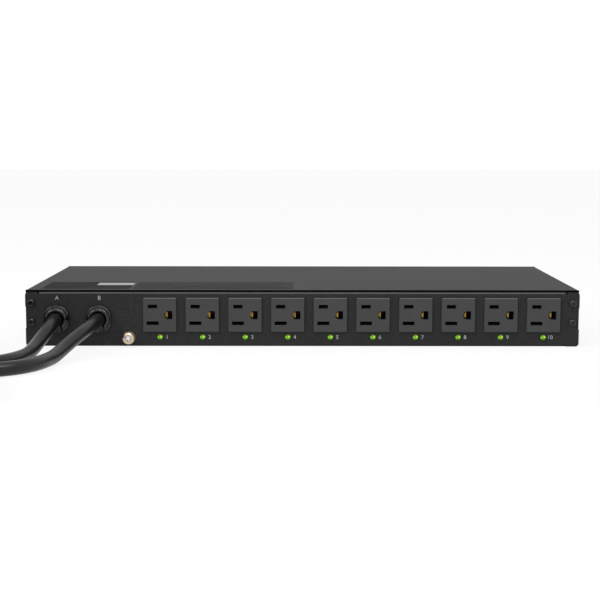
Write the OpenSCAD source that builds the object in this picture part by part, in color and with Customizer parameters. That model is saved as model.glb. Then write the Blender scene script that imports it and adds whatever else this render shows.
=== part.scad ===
// Rack transfer switch, one rack unit high: two corded inputs feed ten grounded outlets.
// The origin is the centre of the chassis' underside. The outlet panel faces -Y, the control
// panel faces +Y, and Z is up.

/* [Chassis] */
// Overall width, across the end panels
body_w = 420; // [410:1:504]
// Overall depth, from the outlet panel's face to the control panel's face
body_d = 190; // [184:1:240]
// Overall height, from the underside to the top of the cover
body_h = 43; // [42:0.5:44.4]
// Thickness of the tray's and end panels' steel
sheet_t = 1.2; // [1:0.1:1.4]
// Thickness of the cover's steel
cover_t = 1.0; // [0.8:0.1:1]
// How far the cover's sides stand in from the end panels' edges
cover_inset = 0.4; // [0.2:0.1:1]
// Outer radius of the sheet metal bends
bend_r = 1.5; // [1.4:0.1:3]
// Outside radius of the cover's side bends
cover_bend_r = 1.2; // [1.1:0.1:2]
// Radius of the end panels' corners
corner_r = 2.5; // [1:0.5:4]
// Gap between the cover and the end panels' top flanges
cover_gap = 0.6; // [0.3:0.1:1]
// Depth of the end panels' top and bottom flanges
flange_d = 9; // [6:1:12]
// Plain edge left at each end of a panel beside its flanges
flange_end = 10.6; // [9:0.2:14]
// Width of the tray's inward returns, which carry the end panels
return_w = 9; // [8:0.5:10]

/* [Outlets] */
// Distance from one outlet to the next
outlet_pitch = 32.33; // [29:0.01:33]
// Distance from the chassis' middle to the first outlet
first_outlet = 108.1; // [100:0.1:112]
// Height of the outlets' middle line
outlet_z = 24; // [22:0.5:25]
// Width of an outlet's face
outlet_w = 25.7; // [21.4:0.1:27]
// Height of an outlet's face
outlet_h = 26.2; // [25:0.1:27]
// How far an outlet's face stands proud of the panel
outlet_proud = 1.5; // [1:0.1:2.5]
// Depth of an outlet's housing behind its face
outlet_depth = 22; // [20:1:28]
// Rim of the outlet's face that bears on the panel
outlet_rim = 0.9; // [0.6:0.1:1.2]
// Diameter of an outlet's indicator
indicator_d = 3.9; // [3:0.1:4.2]
// Height of the indicators
indicator_z = 7; // [6.5:0.1:9]

/* [Inputs] */
// Distance from the chassis' middle to input A's cord
input_a = 186.2; // [184:0.1:188]
// Distance from the chassis' middle to input B's cord
input_b = 154.2; // [150:0.1:156]
// Height at which the cords leave the panel
input_z = 21.1; // [20:0.1:24]
// Diameter of a cord
cord_d = 10; // [8:0.1:10]
// Width of a bushing's head across its flats
bushing_flats = 18.6; // [18:0.1:20]
// Distance from the chassis' middle to the ground screw
ground_screw_x = 131.6; // [129:0.1:134]
// Height of the ground screw
ground_screw_z = 6.8; // [6.5:0.1:9]
// Thread diameter of the ground screw
ground_thread = 5; // [4:0.5:5]

/* [Control panel] */
// Width of the display window
window_w = 52; // [44:1:60]
// Height of the display window
window_h = 18; // [16:1:22]
// Diameter of a button's cap
button_d = 8; // [6:0.5:9]
// How far a button can be pressed
button_travel = 0.6; // [0.4:0.1:0.8]
// Diameter of a breaker's reset button
reset_d = 6.4; // [5:0.2:7]
// How far a tripped reset button springs out
reset_travel = 3; // [2:0.5:4]

/* [Hidden] */
$fn = 64;
OUTLETS = 10;
function outlet_name(i) = str("outlet_", i < 10 ? "0" : "", i);

e = 0.01;            // a cutter's overlap past the face that it cuts
slip = 0.1;          // gap between two flat faces that slide past each other in assembly
rear_y = -body_d / 2;
front_y = body_d / 2;
half_w = body_w / 2;
cover_under = body_h - cover_t;
panel_h = cover_under - cover_gap;
side_out = half_w - cover_inset;
side_in = side_out - cover_t;
tray_half = side_in - slip;
tray_in = tray_half - sheet_t;
tray_top = body_h - 6;
flange_half = half_w - flange_end;
relief_w = 1.3;
relief_h = bend_r;
lip_gap = 0.5;       // the cover's end lips stop short of the panels' outer faces
return_z = 3.2;

screw_r = 1.5;       // M3
screw_hole_r = 1.7;
screw_head_r = 2.9;
screw_head_h = 1.9;
screw_inset = 4.8;   // panel screws, from the body's side
rear_screw_x = half_w - screw_inset;
rear_screws = [[-rear_screw_x - 0.3, 33.3], [-rear_screw_x - 0.3, 18.5], [rear_screw_x - 0.3, 33],
    [rear_screw_x - 0.3, 18.3]];
front_screw_zs = [12, 32];
front_screws = [for (side = [-1, 1], z = front_screw_zs) [side * (half_w - screw_inset), z]];
screw_l = 5;
thread_gap = 0.05;   // round a thread in its tapped hole
tongue_left = [14, 30];
tongue_right = [13, 29];
tongue_gap = 0.2;

ear_r = 2.1;         // M4 clearance for rack ears
ear_spacing_y = 28;
ear_spacing_z = 20;
ear_z = 19;
ear_from_end = 34;
cover_screw_z = body_h - 9.5;
cover_screw_ys = [-0.36 * body_d, 0, 0.36 * body_d];
countersink_r = 2.8;

blade_spacing = 12.7; // the standard 15 A pattern of two blades and a ground pin
ground_offset = 11.9;
slot_x = -0.21 * outlet_w;      // blade line, from the outlet's middle
slot_h = 2.7;
hot_slot_w = 6.8;
neutral_slot_w = 8.8;
slot_lead = 0.3;
ground_x = slot_x + ground_offset;
ground_hole_r = 3.2;
ground_flat = 3;     // from the pin's axis to the flat side of its hole
face_t = 2.4;
chamber_h = 5.4;
chamber_side = 0.3;  // the chamber behind a slot is wider than it by this, each side
contact_gap = 0.1;   // between a contact and its chamber
body_gap = 0.15;     // outlet housing in its window
contact_t = 0.8;
blade_gap = 1.4;
tab_w = 4;
tab_l = 5;
busbar_t = 1;
busbar_h = 4.6;
outlet_back = rear_y - outlet_proud + outlet_depth;
busbar_y = outlet_back + 3;
ground_bus_y = outlet_back + 7;
bar_end = 12;

bushing_bore = cord_d / 2 + 0.05;
bushing_head = 3.2;
bushing_head_r = 10.5;
bushing_dome = 2.4;
bushing_dome_r = 8.8;
bushing_neck_r = 8;
bushing_flat = 7.1;  // from the bore to each flat of the neck
bushing_gap = 0.15;
bushing_tail = 11;

washer_t = 1;
lock_washer_t = 1.6;
ground_head_r = 4.6;
ground_head_h = 3;
washer_r = 4.7;
lock_washer_r = 4.4;

coil_r = 55;         // middle of the winding
coil_w = 40;
coil_h = 20.2;
// Everything about the cords is set out from the outlet panel's outer face
coil_a_at = [-305, -46.5];
coil_b_at = [-271, -206];
// Middle line of each lead, from its bushing to its coil
lead_a = [[-186.2, 7, 21.1], [-186.2, -8, 21.1], [-186.5, -20, 19.5], [-187.9, -31, 16.3],
    [-190.2, -41, 12.2], [-192.2, -51, 8.6], [-193.8, -62, 6.1], [-195.2, -73, 5.2],
    [-199.5, -89.5, 5.1], [-208, -103.8, 5.1], [-221, -113.4, 5.1], [-236.5, -116.5, 5.1],
    [-262, -116.5, 5.1], [-288, -116.5, 5.1]];
lead_b = [[-154.2, 7, 21.1], [-154.2, -8, 21.1], [-155.1, -19, 20.4], [-157.3, -31, 18.8],
    [-160.3, -42, 16.6], [-164, -52, 13.8], [-167.6, -62, 10.8], [-170.7, -72, 8],
    [-173.2, -82, 6], [-175.8, -92, 5.2], [-180.4, -108, 5.1], [-189.4, -122.5, 5.1],
    [-203, -132.4, 5.1], [-219, -136, 5.1], [-252, -136, 5.1]];
// Middle line of the cord's last stretch, from the coil to its plug, seen from the coil's middle
tail = [[60, -35, 20.5], [35, -60, 24.6], [2, -69, 25.3], [-27, -60, 26], [-45, -44, 28],
    [-54, -29, 30.6], [-55, -23, 31.2], [-55, -18, 31.2]];
cord_sides = 10;
plug_at = [-55, -18];
plug_axis = coil_h + 11;
plug_relief = 30;
plug_body = 37;
plug_w = 25;
plug_drop = 11;      // from the cord's axis down to the plug's flat side
blade_t = 1.5;
blade_w = 6.3;
blade_l = 15.9;
pin_r = 2.38;
pin_l = 18.5;

pcb_t = 1.6;
standoff_h = 6;
standoff_r = 2.8;
pcb_z = sheet_t + standoff_h;
pcb_top = pcb_z + pcb_t;
power_w = body_w - 36;
power_y = [rear_y + 49, front_y - 51];
control_x = [52, half_w - 14];
control_y = [front_y - 41, front_y - 5];
module_pitch = 40;
module_y = -36;
module_l = 34;
module_h = 9;
relay_x = -176;
relay_y = -38;
transformer_x = 112;
transformer_y = -30;
capacitor_x = 100;
capacitor_y = 20;
sensor_xs = [-150, -100];
sensor_y = 14;
terminal_xs = [-186, 118];
terminal_y = 28;
front_back = front_y - sheet_t;
switch_gap = 6;      // from the control panel's inner face to the display board
switch_h = 3;
display_x = [-86, 34];
window_x = -52;
window_z = 22;
window_rim = 1.5;
button_xs = [-8, 8, 24];
button_z = 20;
button_gap = 0.3;
button_proud = 1.6;
collar_t = 1;
collar_r = button_d / 2 + 1.2;
status_xs = [-8, 8, 24];
status_z = 33;
status_r = 1.5;
breaker_xs = [-166, -136];
breaker_z = 21;
breaker_w = 17;
breaker_h = 24;
breaker_l = 32;
bezel_rim = 1.6;
bezel_t = 1.8;
reset_gap = 0.3;
reset_proud = 4;
jack_x = 150;
jack_w = 16;
jack_h = 13.4;
jack_l = 21;
jack_gap = 0.2;
jack_proud = 0.6;
cavity_w = 11.8;
cavity_h = 7;
cavity_l = 14;

steel = [0.16, 0.16, 0.17];
moulded = [0.22, 0.22, 0.23];
brass = [0.78, 0.6, 0.28];
green = [0.35, 0.85, 0.1];
board = [0.05, 0.32, 0.16];

// Points along an arc round [cx, cy], from angle a0 to a1
function arc(cx, cy, r, a0, a1, steps = 5) =
    [for (i = [0:steps]) let (a = a0 + (a1 - a0) * i / steps) [cx + r * cos(a), cy + r * sin(a)]];

// Outline of a rectangle centred on the origin, with its corners rounded
function round_rect(w, h, r) = concat(
    arc(w / 2 - r, h / 2 - r, r, 0, 90), arc(r - w / 2, h / 2 - r, r, 90, 180),
    arc(r - w / 2, r - h / 2, r, 180, 270), arc(w / 2 - r, r - h / 2, r, 270, 360));

function outlet_x(i) = (i - 1) * outlet_pitch - first_outlet;

// A block from its low corner and its size
module block(x, y, z, w, d, h) {
    translate([x, y, z]) cube([w, d, h]);
}

// An outline in x and z, carried along y from y0 to y1
module along_y(pts, y0, y1) {
    translate([0, y1, 0]) rotate([90, 0, 0]) linear_extrude(y1 - y0) polygon(pts);
}

// An outline in y and z, carried along x from x0 to x1
module along_x(pts, x0, x1) {
    translate([x0, 0, 0]) rotate([90, 0, 90]) linear_extrude(x1 - x0) polygon(pts);
}

// A round bar or bore along y, from y0 to y1
module rod_y(x, z, r, y0, y1) {
    translate([x, y0, z]) rotate([-90, 0, 0]) cylinder(h = y1 - y0, r = r);
}

// A round bore through a side wall, along x
module bore_x(x0, x1, y, z, r) {
    translate([x0, y, z]) rotate([0, 90, 0]) cylinder(h = x1 - x0, r = r);
}

// A turned shape on an axis along -y: the outline is radius and height above the y given
module turned(x, y, z, outline) {
    translate([x, y, z]) rotate([90, 0, 0]) rotate_extrude() polygon(outline);
}

// A four-sided frustum along y, from w0 by h0 at y0 to w1 by h1 at y1
module frustum(w0, h0, y0, w1, h1, y1) {
    intersection() {
        along_x([[y0, -h0 / 2], [y1, -h1 / 2], [y1, h1 / 2], [y0, h0 / 2]],
            -max(w0, w1), max(w0, w1));
        linear_extrude(2 * max(h0, h1), center = true)
            polygon([[-w0 / 2, y0], [w0 / 2, y0], [w1 / 2, y1], [-w1 / 2, y1]]);
    }
}

// Both ends' mirror images of a piece drawn at the rear
module at_both_ends() {
    children();
    mirror([0, 1, 0]) children();
}

// ---- Casing ----

// Holes for rack ears: one rectangle of four near each end of each side
module ear_holes() {
    for (side = [-1, 1], end = [-1, 1], dy = [-0.5, 0.5], dz = [-0.5, 0.5])
        bore_x(side * half_w - 5, side * half_w + 5,
            end * (front_y - ear_from_end) + dy * ear_spacing_y, ear_z + dz * ear_spacing_z, ear_r);
}

// Side holes for the cover's screws
module cover_screw_holes(r) {
    for (side = [-1, 1], y = cover_screw_ys)
        bore_x(side * half_w - 5, side * half_w + 5, y, cover_screw_z, r);
}

module chassis_tray() {
    ri = bend_r - sheet_t;
    section = concat([[-tray_half, tray_top]],
        arc(-tray_half + bend_r, bend_r, bend_r, 180, 270),
        arc(tray_half - bend_r, bend_r, bend_r, 270, 360),
        [[tray_half, tray_top], [tray_in, tray_top]],
        arc(tray_half - bend_r, bend_r, ri, 360, 270),
        arc(-tray_half + bend_r, bend_r, ri, 270, 180), [[-tray_in, tray_top]]);
    inner_y = rear_y + sheet_t;
    color(steel) difference() {
        union() {
            along_y(section, inner_y, -inner_y);
            at_both_ends() for (side = [-1, 1])
                block(side > 0 ? tray_in - return_w : -tray_in - e, inner_y, return_z,
                    return_w + e, sheet_t, tray_top - return_z);
        }
        // clearance for the end panels' bottom flanges
        at_both_ends() block(-flange_half - slip, inner_y - e, -e,
            2 * (flange_half + slip), flange_d - sheet_t + slip + e, sheet_t + bend_r);
        for (s = rear_screws) rod_y(s[0], s[1], screw_r + thread_gap, rear_y, rear_y + screw_l);
        for (s = front_screws) rod_y(s[0], s[1], screw_r + thread_gap, front_y - screw_l, front_y);
        ear_holes();
        cover_screw_holes(screw_r + thread_gap);
    }
}

module top_cover() {
    r = cover_bend_r;
    ri = r - cover_t;
    low = 0.3;           // the sides stop just above the tray's underside
    tongue_l = sheet_t + 1;
    section = concat([[-side_out, low], [-side_in, low]],
        arc(-side_out + r, body_h - r, ri, 180, 90), arc(side_out - r, body_h - r, ri, 90, 0),
        [[side_in, low], [side_out, low]],
        arc(side_out - r, body_h - r, r, 0, 90), arc(-side_out + r, body_h - r, r, 90, 180));
    color(steel) difference() {
        union() {
            along_y(section, rear_y + sheet_t, front_y - sheet_t);
            // the top runs on over the end panels, and a tongue on each side keys into them
            at_both_ends() block(-side_out, rear_y + lip_gap, cover_under, 2 * side_out,
                sheet_t - lip_gap + e, cover_t);
            block(-side_out, rear_y, tongue_left[0], cover_t, tongue_l,
                tongue_left[1] - tongue_left[0]);
            block(side_in, rear_y, tongue_right[0], cover_t, tongue_l,
                tongue_right[1] - tongue_right[0]);
        }
        ear_holes();
        for (side = [-1, 1], y = cover_screw_ys)
            translate([side * side_in, y, cover_screw_z]) rotate([0, side * 90, 0])
                cylinder(h = cover_t + e, r1 = countersink_r - 1, r2 = countersink_r);
    }
}

// The folded sheet that both end panels start from, with its outer face at y = 0
module panel_blank() {
    ri = bend_r - sheet_t;
    fold = concat([[flange_d, panel_h]], arc(bend_r, panel_h - bend_r, bend_r, 90, 180),
        arc(bend_r, bend_r, bend_r, 180, 270), [[flange_d, 0], [flange_d, sheet_t]],
        arc(bend_r, bend_r, ri, 270, 180), arc(bend_r, panel_h - bend_r, ri, 180, 90),
        [[flange_d, panel_h - sheet_t]]);
    along_x(fold, -flange_half, flange_half);
    difference() {
        translate([0, 0, panel_h / 2])
            along_y(round_rect(body_w, panel_h, corner_r), 0, sheet_t);
        for (z = [-e, panel_h - relief_h])
            block(-flange_half - relief_w, -e, z, 2 * (flange_half + relief_w), sheet_t + 2 * e,
                relief_h + e);
    }
}

// Notch in a panel's edge for the cover's tongue
module tongue_notch(side, span) {
    inner = side_in - tongue_gap;
    block(side > 0 ? inner : -half_w - e, rear_y - e, span[0] - tongue_gap, half_w - inner + e,
        sheet_t + 2 * e, span[1] - span[0] + 2 * tongue_gap);
}

module rear_panel() {
    y0 = rear_y - e;
    y1 = rear_y + sheet_t + e;
    color(steel) difference() {
        translate([0, rear_y, 0]) panel_blank();
        for (i = [1:OUTLETS])
            translate([outlet_x(i), 0, outlet_z]) {
                w = outlet_w - 2 * outlet_rim;
                h = outlet_h - 2 * outlet_rim;
                block(-w / 2, y0, -h / 2, w, y1 - y0, h);
            }
        for (i = [1:OUTLETS])
            rod_y(outlet_x(i), indicator_z, indicator_d / 2 + bushing_gap, y0, y1);
        for (x = [-input_a, -input_b])
            intersection() {
                rod_y(x, input_z, bushing_neck_r + bushing_gap, y0, y1);
                block(x - bushing_flat - bushing_gap, y0, 0, 2 * (bushing_flat + bushing_gap),
                    y1 - y0, panel_h);
            }
        rod_y(-ground_screw_x, ground_screw_z, ground_thread / 2 + thread_gap, y0, y1);
        for (s = rear_screws) rod_y(s[0], s[1], screw_hole_r, y0, y1);
        tongue_notch(-1, tongue_left);
        tongue_notch(1, tongue_right);
    }
}

module front_panel() {
    y0 = front_y - sheet_t - e;
    y1 = front_y + e;
    color(steel) difference() {
        mirror([0, 1, 0]) translate([0, rear_y, 0]) panel_blank();
        block(window_x - window_w / 2, y0, window_z - window_h / 2, window_w, y1 - y0, window_h);
        for (x = button_xs) rod_y(x, button_z, button_d / 2 + button_gap, y0, y1);
        for (x = status_xs) rod_y(x, status_z, status_r + bushing_gap, y0, y1);
        for (x = breaker_xs)
            block(x - breaker_w / 2 - slip, y0, breaker_z - breaker_h / 2 - slip,
                breaker_w + 2 * slip, y1 - y0, breaker_h + 2 * slip);
        block(jack_x - jack_w / 2 - jack_gap, y0, pcb_top - jack_gap, jack_w + 2 * jack_gap,
            y1 - y0, jack_h + 2 * jack_gap);
        for (s = front_screws) rod_y(s[0], s[1], screw_hole_r, y0, y1);
    }
}

// A pan head screw with a cross recess; its head bears on y = 0 and faces -y
module pan_screw(head_r, head_h, thread_r, length) {
    recess = head_r * 0.5;
    difference() {
        union() {
            turned(0, 0, 0, concat([[0, 0], [head_r, 0]],
                arc(head_r - head_h * 0.7, head_h * 0.3, head_h * 0.7, 0, 90),
                [[0, head_h]]));
            rod_y(0, 0, thread_r, -e, length);
        }
        for (turn = [0, 90])
            rotate([0, turn, 0])
                along_x([[-head_h - e, -0.45], [-head_h * 0.35, -0.3], [-head_h * 0.35, 0.3],
                    [-head_h - e, 0.45]], -recess, recess);
    }
}

module panel_screws() {
    color("black") {
        for (s = rear_screws) translate([s[0], rear_y, s[1]])
            rotate([0, 35, 0]) pan_screw(screw_head_r, screw_head_h, screw_r, screw_l);
        for (s = front_screws) translate([s[0], front_y, s[1]])
            rotate([0, 0, 180]) pan_screw(screw_head_r, screw_head_h, screw_r, screw_l);
    }
}

module cover_screws() {
    head = countersink_r - 0.1;
    color("black") for (side = [-1, 1], y = cover_screw_ys)
        translate([side * side_in, y, cover_screw_z]) rotate([0, side * 90, 0])
            difference() {
                union() {
                    translate([0, 0, slip / 2])
                        cylinder(h = cover_t - slip / 2, r1 = head - 1, r2 = head);
                    translate([0, 0, -4]) cylinder(h = 4 + slip, r = screw_r);
                }
                for (turn = [0, 90]) rotate([0, 0, turn])
                    translate([-1.5, -0.3, cover_t - 0.8]) cube([3, 0.6, 1]);
            }
}

// Printed film labels laid on the cover, left bare
module cover_labels() {
    film = 0.15;
    // each from its left edge, its distance from the outlet panel, and its size
    labels = [[-199.2, 8, 67, 46, film], [-129.7, 8, 122.5, 47, film], [-161.1, 36.5, 29, 19, film]];
    color("gray") difference() {
        union() {
            for (l = [labels[0], labels[1]])
                block(l[0], rear_y + l[1], body_h, l[2], l[3], l[4]);
        }
        block(labels[2][0] - slip, rear_y + labels[2][1] - slip, body_h - e,
            labels[2][2] + 2 * slip, labels[2][3] + 2 * slip, 1);
    }
    color("white") block(labels[2][0], rear_y + labels[2][1], body_h, labels[2][2], labels[2][3], film);
}

// ---- Outlets ----

// The ground pin's hole: round towards the blades, flat on the far side
module ground_hole(y0, y1, grow = 0) {
    r = ground_hole_r + grow;
    translate([ground_x, 0, 0])
        along_y(concat(arc(0, 0, r, 90, 270, 10), [[ground_flat + grow, -r], [ground_flat + grow, r]]),
            y0, y1);
}

// One moulded receptacle: its face plate's back is at y = 0, the blades enter along +y
module receptacle() {
    bevel = 0.5;
    housing_w = outlet_w - 2 * (outlet_rim + body_gap);
    housing_h = outlet_h - 2 * (outlet_rim + body_gap);
    back = outlet_depth - outlet_proud;
    latch = 0.7;
    difference() {
        union() {
            intersection() {
                frustum(outlet_w - 2 * bevel, outlet_h - 2 * bevel, -outlet_proud,
                    outlet_w + 2 * (outlet_proud - bevel), outlet_h + 2 * (outlet_proud - bevel), 0);
                along_y(round_rect(outlet_w, outlet_h, 1.2), -outlet_proud, 0);
            }
            block(-housing_w / 2, -e, -housing_h / 2, housing_w, back + e, housing_h);
            // snap latches that hold the housing behind the panel
            for (side = [-1, 1])
                linear_extrude(8, center = true)
                    polygon([[side * (housing_w / 2 - e), sheet_t + slip],
                        [side * (housing_w / 2 + latch), sheet_t + slip],
                        [side * (housing_w / 2 - e), sheet_t + 6]]);
        }
        for (slot = [[hot_slot_w, 1], [neutral_slot_w, -1]])
            translate([slot_x, -outlet_proud, slot[1] * blade_spacing / 2]) {
                block(-slot[0] / 2, -e, -slot_h / 2, slot[0], face_t + 2 * e, slot_h);
                frustum(slot[0] + 2 * slot_lead, slot_h + 2 * slot_lead, -e, slot[0], slot_h,
                    slot_lead);
                block(-slot[0] / 2 - chamber_side, face_t, -chamber_h / 2,
                    slot[0] + 2 * chamber_side, outlet_depth, chamber_h);
            }
        ground_hole(-outlet_proud - e, back + e);
    }
}

module outlet(i) {
    color(moulded) translate([outlet_x(i), rear_y, outlet_z]) receptacle();
}

// Side view of a blade contact: two leaves that pinch the blade, on a base with a solder tab
function contact_outline(tab) = let (
        inner = blade_gap / 2,
        outer = inner + contact_t,
        mouth = face_t - outlet_proud + 2.6,
        pinch = mouth + 4,
        base = outlet_back - rear_y - 3,
        flare = 1.7)
    [[mouth, flare - contact_t], [pinch, inner], [base - 2, flare - contact_t], [base, flare - contact_t],
     [base, -flare + contact_t], [base - 2, -flare + contact_t], [pinch, -inner],
     [mouth, -flare + contact_t], [mouth, -flare], [pinch, -outer], [base - 2, -flare],
     [base + contact_t, -flare], [base + contact_t, -contact_t / 2], [tab, -contact_t / 2],
     [tab, contact_t / 2], [base + contact_t, contact_t / 2], [base + contact_t, flare],
     [base - 2, flare], [pinch, outer], [mouth, flare]];

module blade_contact(width, tab) {
    shoulder = outlet_back - rear_y - 3 + contact_t + 1;
    difference() {
        along_x(contact_outline(tab), -width / 2, width / 2);
        // the tab is narrower than the leaves
        for (x = [-width, tab_w / 2])
            block(x, shoulder, -3, width - tab_w / 2, tab - shoulder + 1, 6);
    }
}

module hot_contacts() {
    color(brass) for (i = [1:OUTLETS])
        translate([outlet_x(i) + slot_x, rear_y, outlet_z + blade_spacing / 2])
            blade_contact(hot_slot_w + 2 * (chamber_side - contact_gap), outlet_back - rear_y + tab_l);
}

module neutral_contacts() {
    color(brass) for (i = [1:OUTLETS])
        translate([outlet_x(i) + slot_x, rear_y, outlet_z - blade_spacing / 2])
            blade_contact(neutral_slot_w + 2 * (chamber_side - contact_gap), outlet_back - rear_y + tab_l);
}

// Ground contact: one springy leaf beside the pin, on a base with a long tab
module ground_contacts() {
    leaf = -1.35;
    tip = 2.6;
    base = outlet_back - rear_y - 2;
    tab = ground_bus_y - rear_y + 2;
    wall = -ground_hole_r + 0.15;
    color(brass) for (i = [1:OUTLETS])
        translate([outlet_x(i) + ground_x, rear_y, outlet_z]) {
            intersection() {
                linear_extrude(4.4, center = true)
                    polygon([[wall, tip], [leaf - 0.2, tip + 0.8], [leaf, tip + 4],
                        [leaf - 0.6, base], [1.8, base], [1.8, base + contact_t],
                        [wall, base + contact_t]]);
                rod_y(0, 0, ground_hole_r - 0.15, 0, base + 2);
            }
            block(-contact_t / 2, base + contact_t - e, -tab_w / 2, contact_t,
                tab - base - contact_t + e, tab_w);
        }
}

// A flat bar behind the outlets, slotted for one row of tabs
module busbar(y, z, dx, slot_w, slot_hh) {
    x0 = outlet_x(1) + dx - bar_end;
    x1 = outlet_x(OUTLETS) + dx + bar_end;
    color(brass) difference() {
        block(x0, y, z - busbar_h / 2, x1 - x0, busbar_t, busbar_h);
        for (i = [1:OUTLETS])
            block(outlet_x(i) + dx - slot_w / 2 - 0.05, y - e, z - slot_hh / 2 - 0.05, slot_w + 0.1,
                busbar_t + 2 * e, slot_hh + 0.1);
    }
}

module hot_busbar() {
    busbar(busbar_y, outlet_z + blade_spacing / 2, slot_x, tab_w, contact_t);
}

module neutral_busbar() {
    busbar(busbar_y, outlet_z - blade_spacing / 2, slot_x, tab_w, contact_t);
}

module ground_busbar() {
    color(brass) difference() {
        block(outlet_x(1) + ground_x - bar_end, ground_bus_y, outlet_z - 3,
            (OUTLETS - 1) * outlet_pitch + 2 * bar_end, busbar_t, 6);
        for (i = [1:OUTLETS])
            block(outlet_x(i) + ground_x - contact_t / 2 - 0.05, ground_bus_y - e,
                outlet_z - tab_w / 2 - 0.05, contact_t + 0.1, busbar_t + 2 * e, tab_w + 0.1);
    }
}

// ---- Indicators ----

// A light pipe along -y, with a domed end and a collar; its back is at y = 0
module light_pipe(r, length, collar_at) {
    turned(0, 0, 0, concat([[0, 0], [r - 0.5, 0], [r - 0.5, collar_at - 1], [r + 0.8, collar_at - 1],
        [r + 0.8, collar_at], [r, collar_at]],
        [for (a = [0:15:90]) [r * cos(a), length - r * 0.6 + r * 0.6 * sin(a)]]));
}

module indicator_lenses() {
    reach = 5;
    color(green) for (i = [1:OUTLETS])
        translate([outlet_x(i), rear_y + sheet_t + reach, indicator_z])
            light_pipe(indicator_d / 2, sheet_t + reach + 1.3, reach);
}

module indicator_board() {
    y = rear_y + sheet_t + 5;
    color(board) block(outlet_x(1) - 10, y, indicator_z - 3.4,
        (OUTLETS - 1) * outlet_pitch + 20, pcb_t, 6.8);
}

// ---- Inputs ----

// Moulded bushing that grips a cord: a round head with two flats, split below by its wedge
module bushing() {
    edge = 1;            // rounding of the head's rim
    dome_edge = 2.4;
    flare = 0.9;         // the mouth opens out by this much
    split = 4.6;         // half the width of the C's opening
    wedge_t = 1.7;
    slit = 0.5;
    lobe = [6.9, -6.2];  // middle of the C's rounded end, and its radius
    lobe_r = 2.3;
    reach = 12;
    depth = bushing_head + bushing_dome;
    open_top = reach - bushing_bore * 0.35;
    latch = 1.1;
    difference() {
        union() {
            intersection() {
                block(-bushing_flats / 2, -bushing_head, -reach, bushing_flats, bushing_head, 2 * reach);
                turned(0, 0, 0, concat([[0, 0], [bushing_head_r, 0]],
                    arc(bushing_head_r - edge, bushing_head - edge, edge, 0, 90),
                    [[0, bushing_head]]));
            }
            turned(0, -bushing_head + e, 0, concat([[0, 0]],
                [for (a = [0:15:90]) [bushing_dome_r - dome_edge + dome_edge * cos(a),
                    bushing_dome * sin(a)]],
                [[0, bushing_dome]]));
            intersection() {
                rod_y(0, 0, bushing_neck_r, -e, bushing_tail);
                block(-bushing_flat, -1, -reach, 2 * bushing_flat, bushing_tail + 1, 2 * reach);
            }
            // snap shoulders behind the panel
            for (side = [-1, 1])
                linear_extrude(7, center = true)
                    polygon([[side * (bushing_flat - e), sheet_t + slip],
                        [side * (bushing_flat + latch), sheet_t + slip],
                        [side * (bushing_flat - e), sheet_t + 6]]);
        }
        rod_y(0, 0, bushing_bore, -reach, bushing_tail + 1);
        turned(0, flare - depth, 0,
            [[0, 0], [bushing_bore, 0], [bushing_bore + flare, flare + e], [0, flare + e]]);
        // the mouth of the C, and the slits beside the wedge
        block(-split, -reach, -reach, 2 * split, reach - wedge_t, open_top);
        for (side = [-1, 1])
            block(side > 0 ? split - slit : -split, -wedge_t - e, -reach, slit, wedge_t - slit,
                open_top);
        // the C's two ends are rounded off
        for (side = [-1, 1])
            difference() {
                block(side > 0 ? split - e : -reach, -reach, -reach, reach - split + e,
                    reach - wedge_t, reach + lobe[1]);
                rod_y(side * lobe[0], lobe[1], lobe_r, -reach - 1, 0);
            }
    }
}

module strain_relief(x) {
    color("black") translate([x, rear_y, input_z]) bushing();
}

module ground_screw() {
    stack = 2 * washer_t + lock_washer_t;
    color(brass) translate([-ground_screw_x, rear_y - stack, ground_screw_z])
        rotate([0, 20, 0]) pan_screw(ground_head_r, ground_head_h, ground_thread / 2, stack + 8);
}

// A ring along y round the ground screw
module screw_ring(y, r, t) {
    difference() {
        rod_y(-ground_screw_x, ground_screw_z, r, y, y + t);
        rod_y(-ground_screw_x, ground_screw_z, ground_thread / 2 + 0.1, y - e, y + t + e);
    }
}

module ground_lock_washer() {
    color("silver") difference() {
        screw_ring(rear_y - washer_t - lock_washer_t, lock_washer_r, lock_washer_t);
        translate([-ground_screw_x, 0, ground_screw_z]) rotate([0, -50, 0])
            block(0, rear_y - 6, -0.5, 8, 6, 1);
    }
}

module ground_flat_washers() {
    color(brass) {
        screw_ring(rear_y - washer_t, washer_r, washer_t);
        screw_ring(rear_y - 2 * washer_t - lock_washer_t, washer_r, washer_t);
    }
}

// ---- Cords ----

function unit(v) = v / norm(v);
function heading(pts, i) = unit(pts[min(i + 1, len(pts) - 1)] - pts[max(i - 1, 0)]);
// One ring of points round the route's point i
function cord_ring(pts, i) = let (
        t = heading(pts, i),
        s = unit(cross(t, [0, 0, 1])),
        u = cross(s, t))
    [for (k = [0:cord_sides - 1]) let (a = 360 * k / cord_sides)
        pts[i] + cord_d / 2 * (cos(a) * s + sin(a) * u)];

// A cord along its route's points
module cord_tube(pts) {
    n = cord_sides;
    last = len(pts) - 1;
    points = [for (i = [0:last]) each cord_ring(pts, i)];
    walls = [for (i = [0:last - 1], k = [0:n - 1]) let (j = (k + 1) % n)
        each [[i * n + k, (i + 1) * n + k, (i + 1) * n + j], [i * n + k, (i + 1) * n + j, i * n + j]]];
    caps = [[for (k = [0:n - 1]) k], [for (k = [n - 1:-1:0]) last * n + k]];
    polyhedron(points, concat(walls, caps));
}

// The last stretch's route, turned over for a coil that is wound the other way
function tail_route(at, way) = [for (p = tail) [at[0] + p[0], at[1] + way * p[1], p[2]]];

module cord(lead, at, way) {
    color("black") translate([0, rear_y, 0]) {
        cord_tube(lead);
        cord_tube(tail_route(at, way));
    }
}

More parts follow.
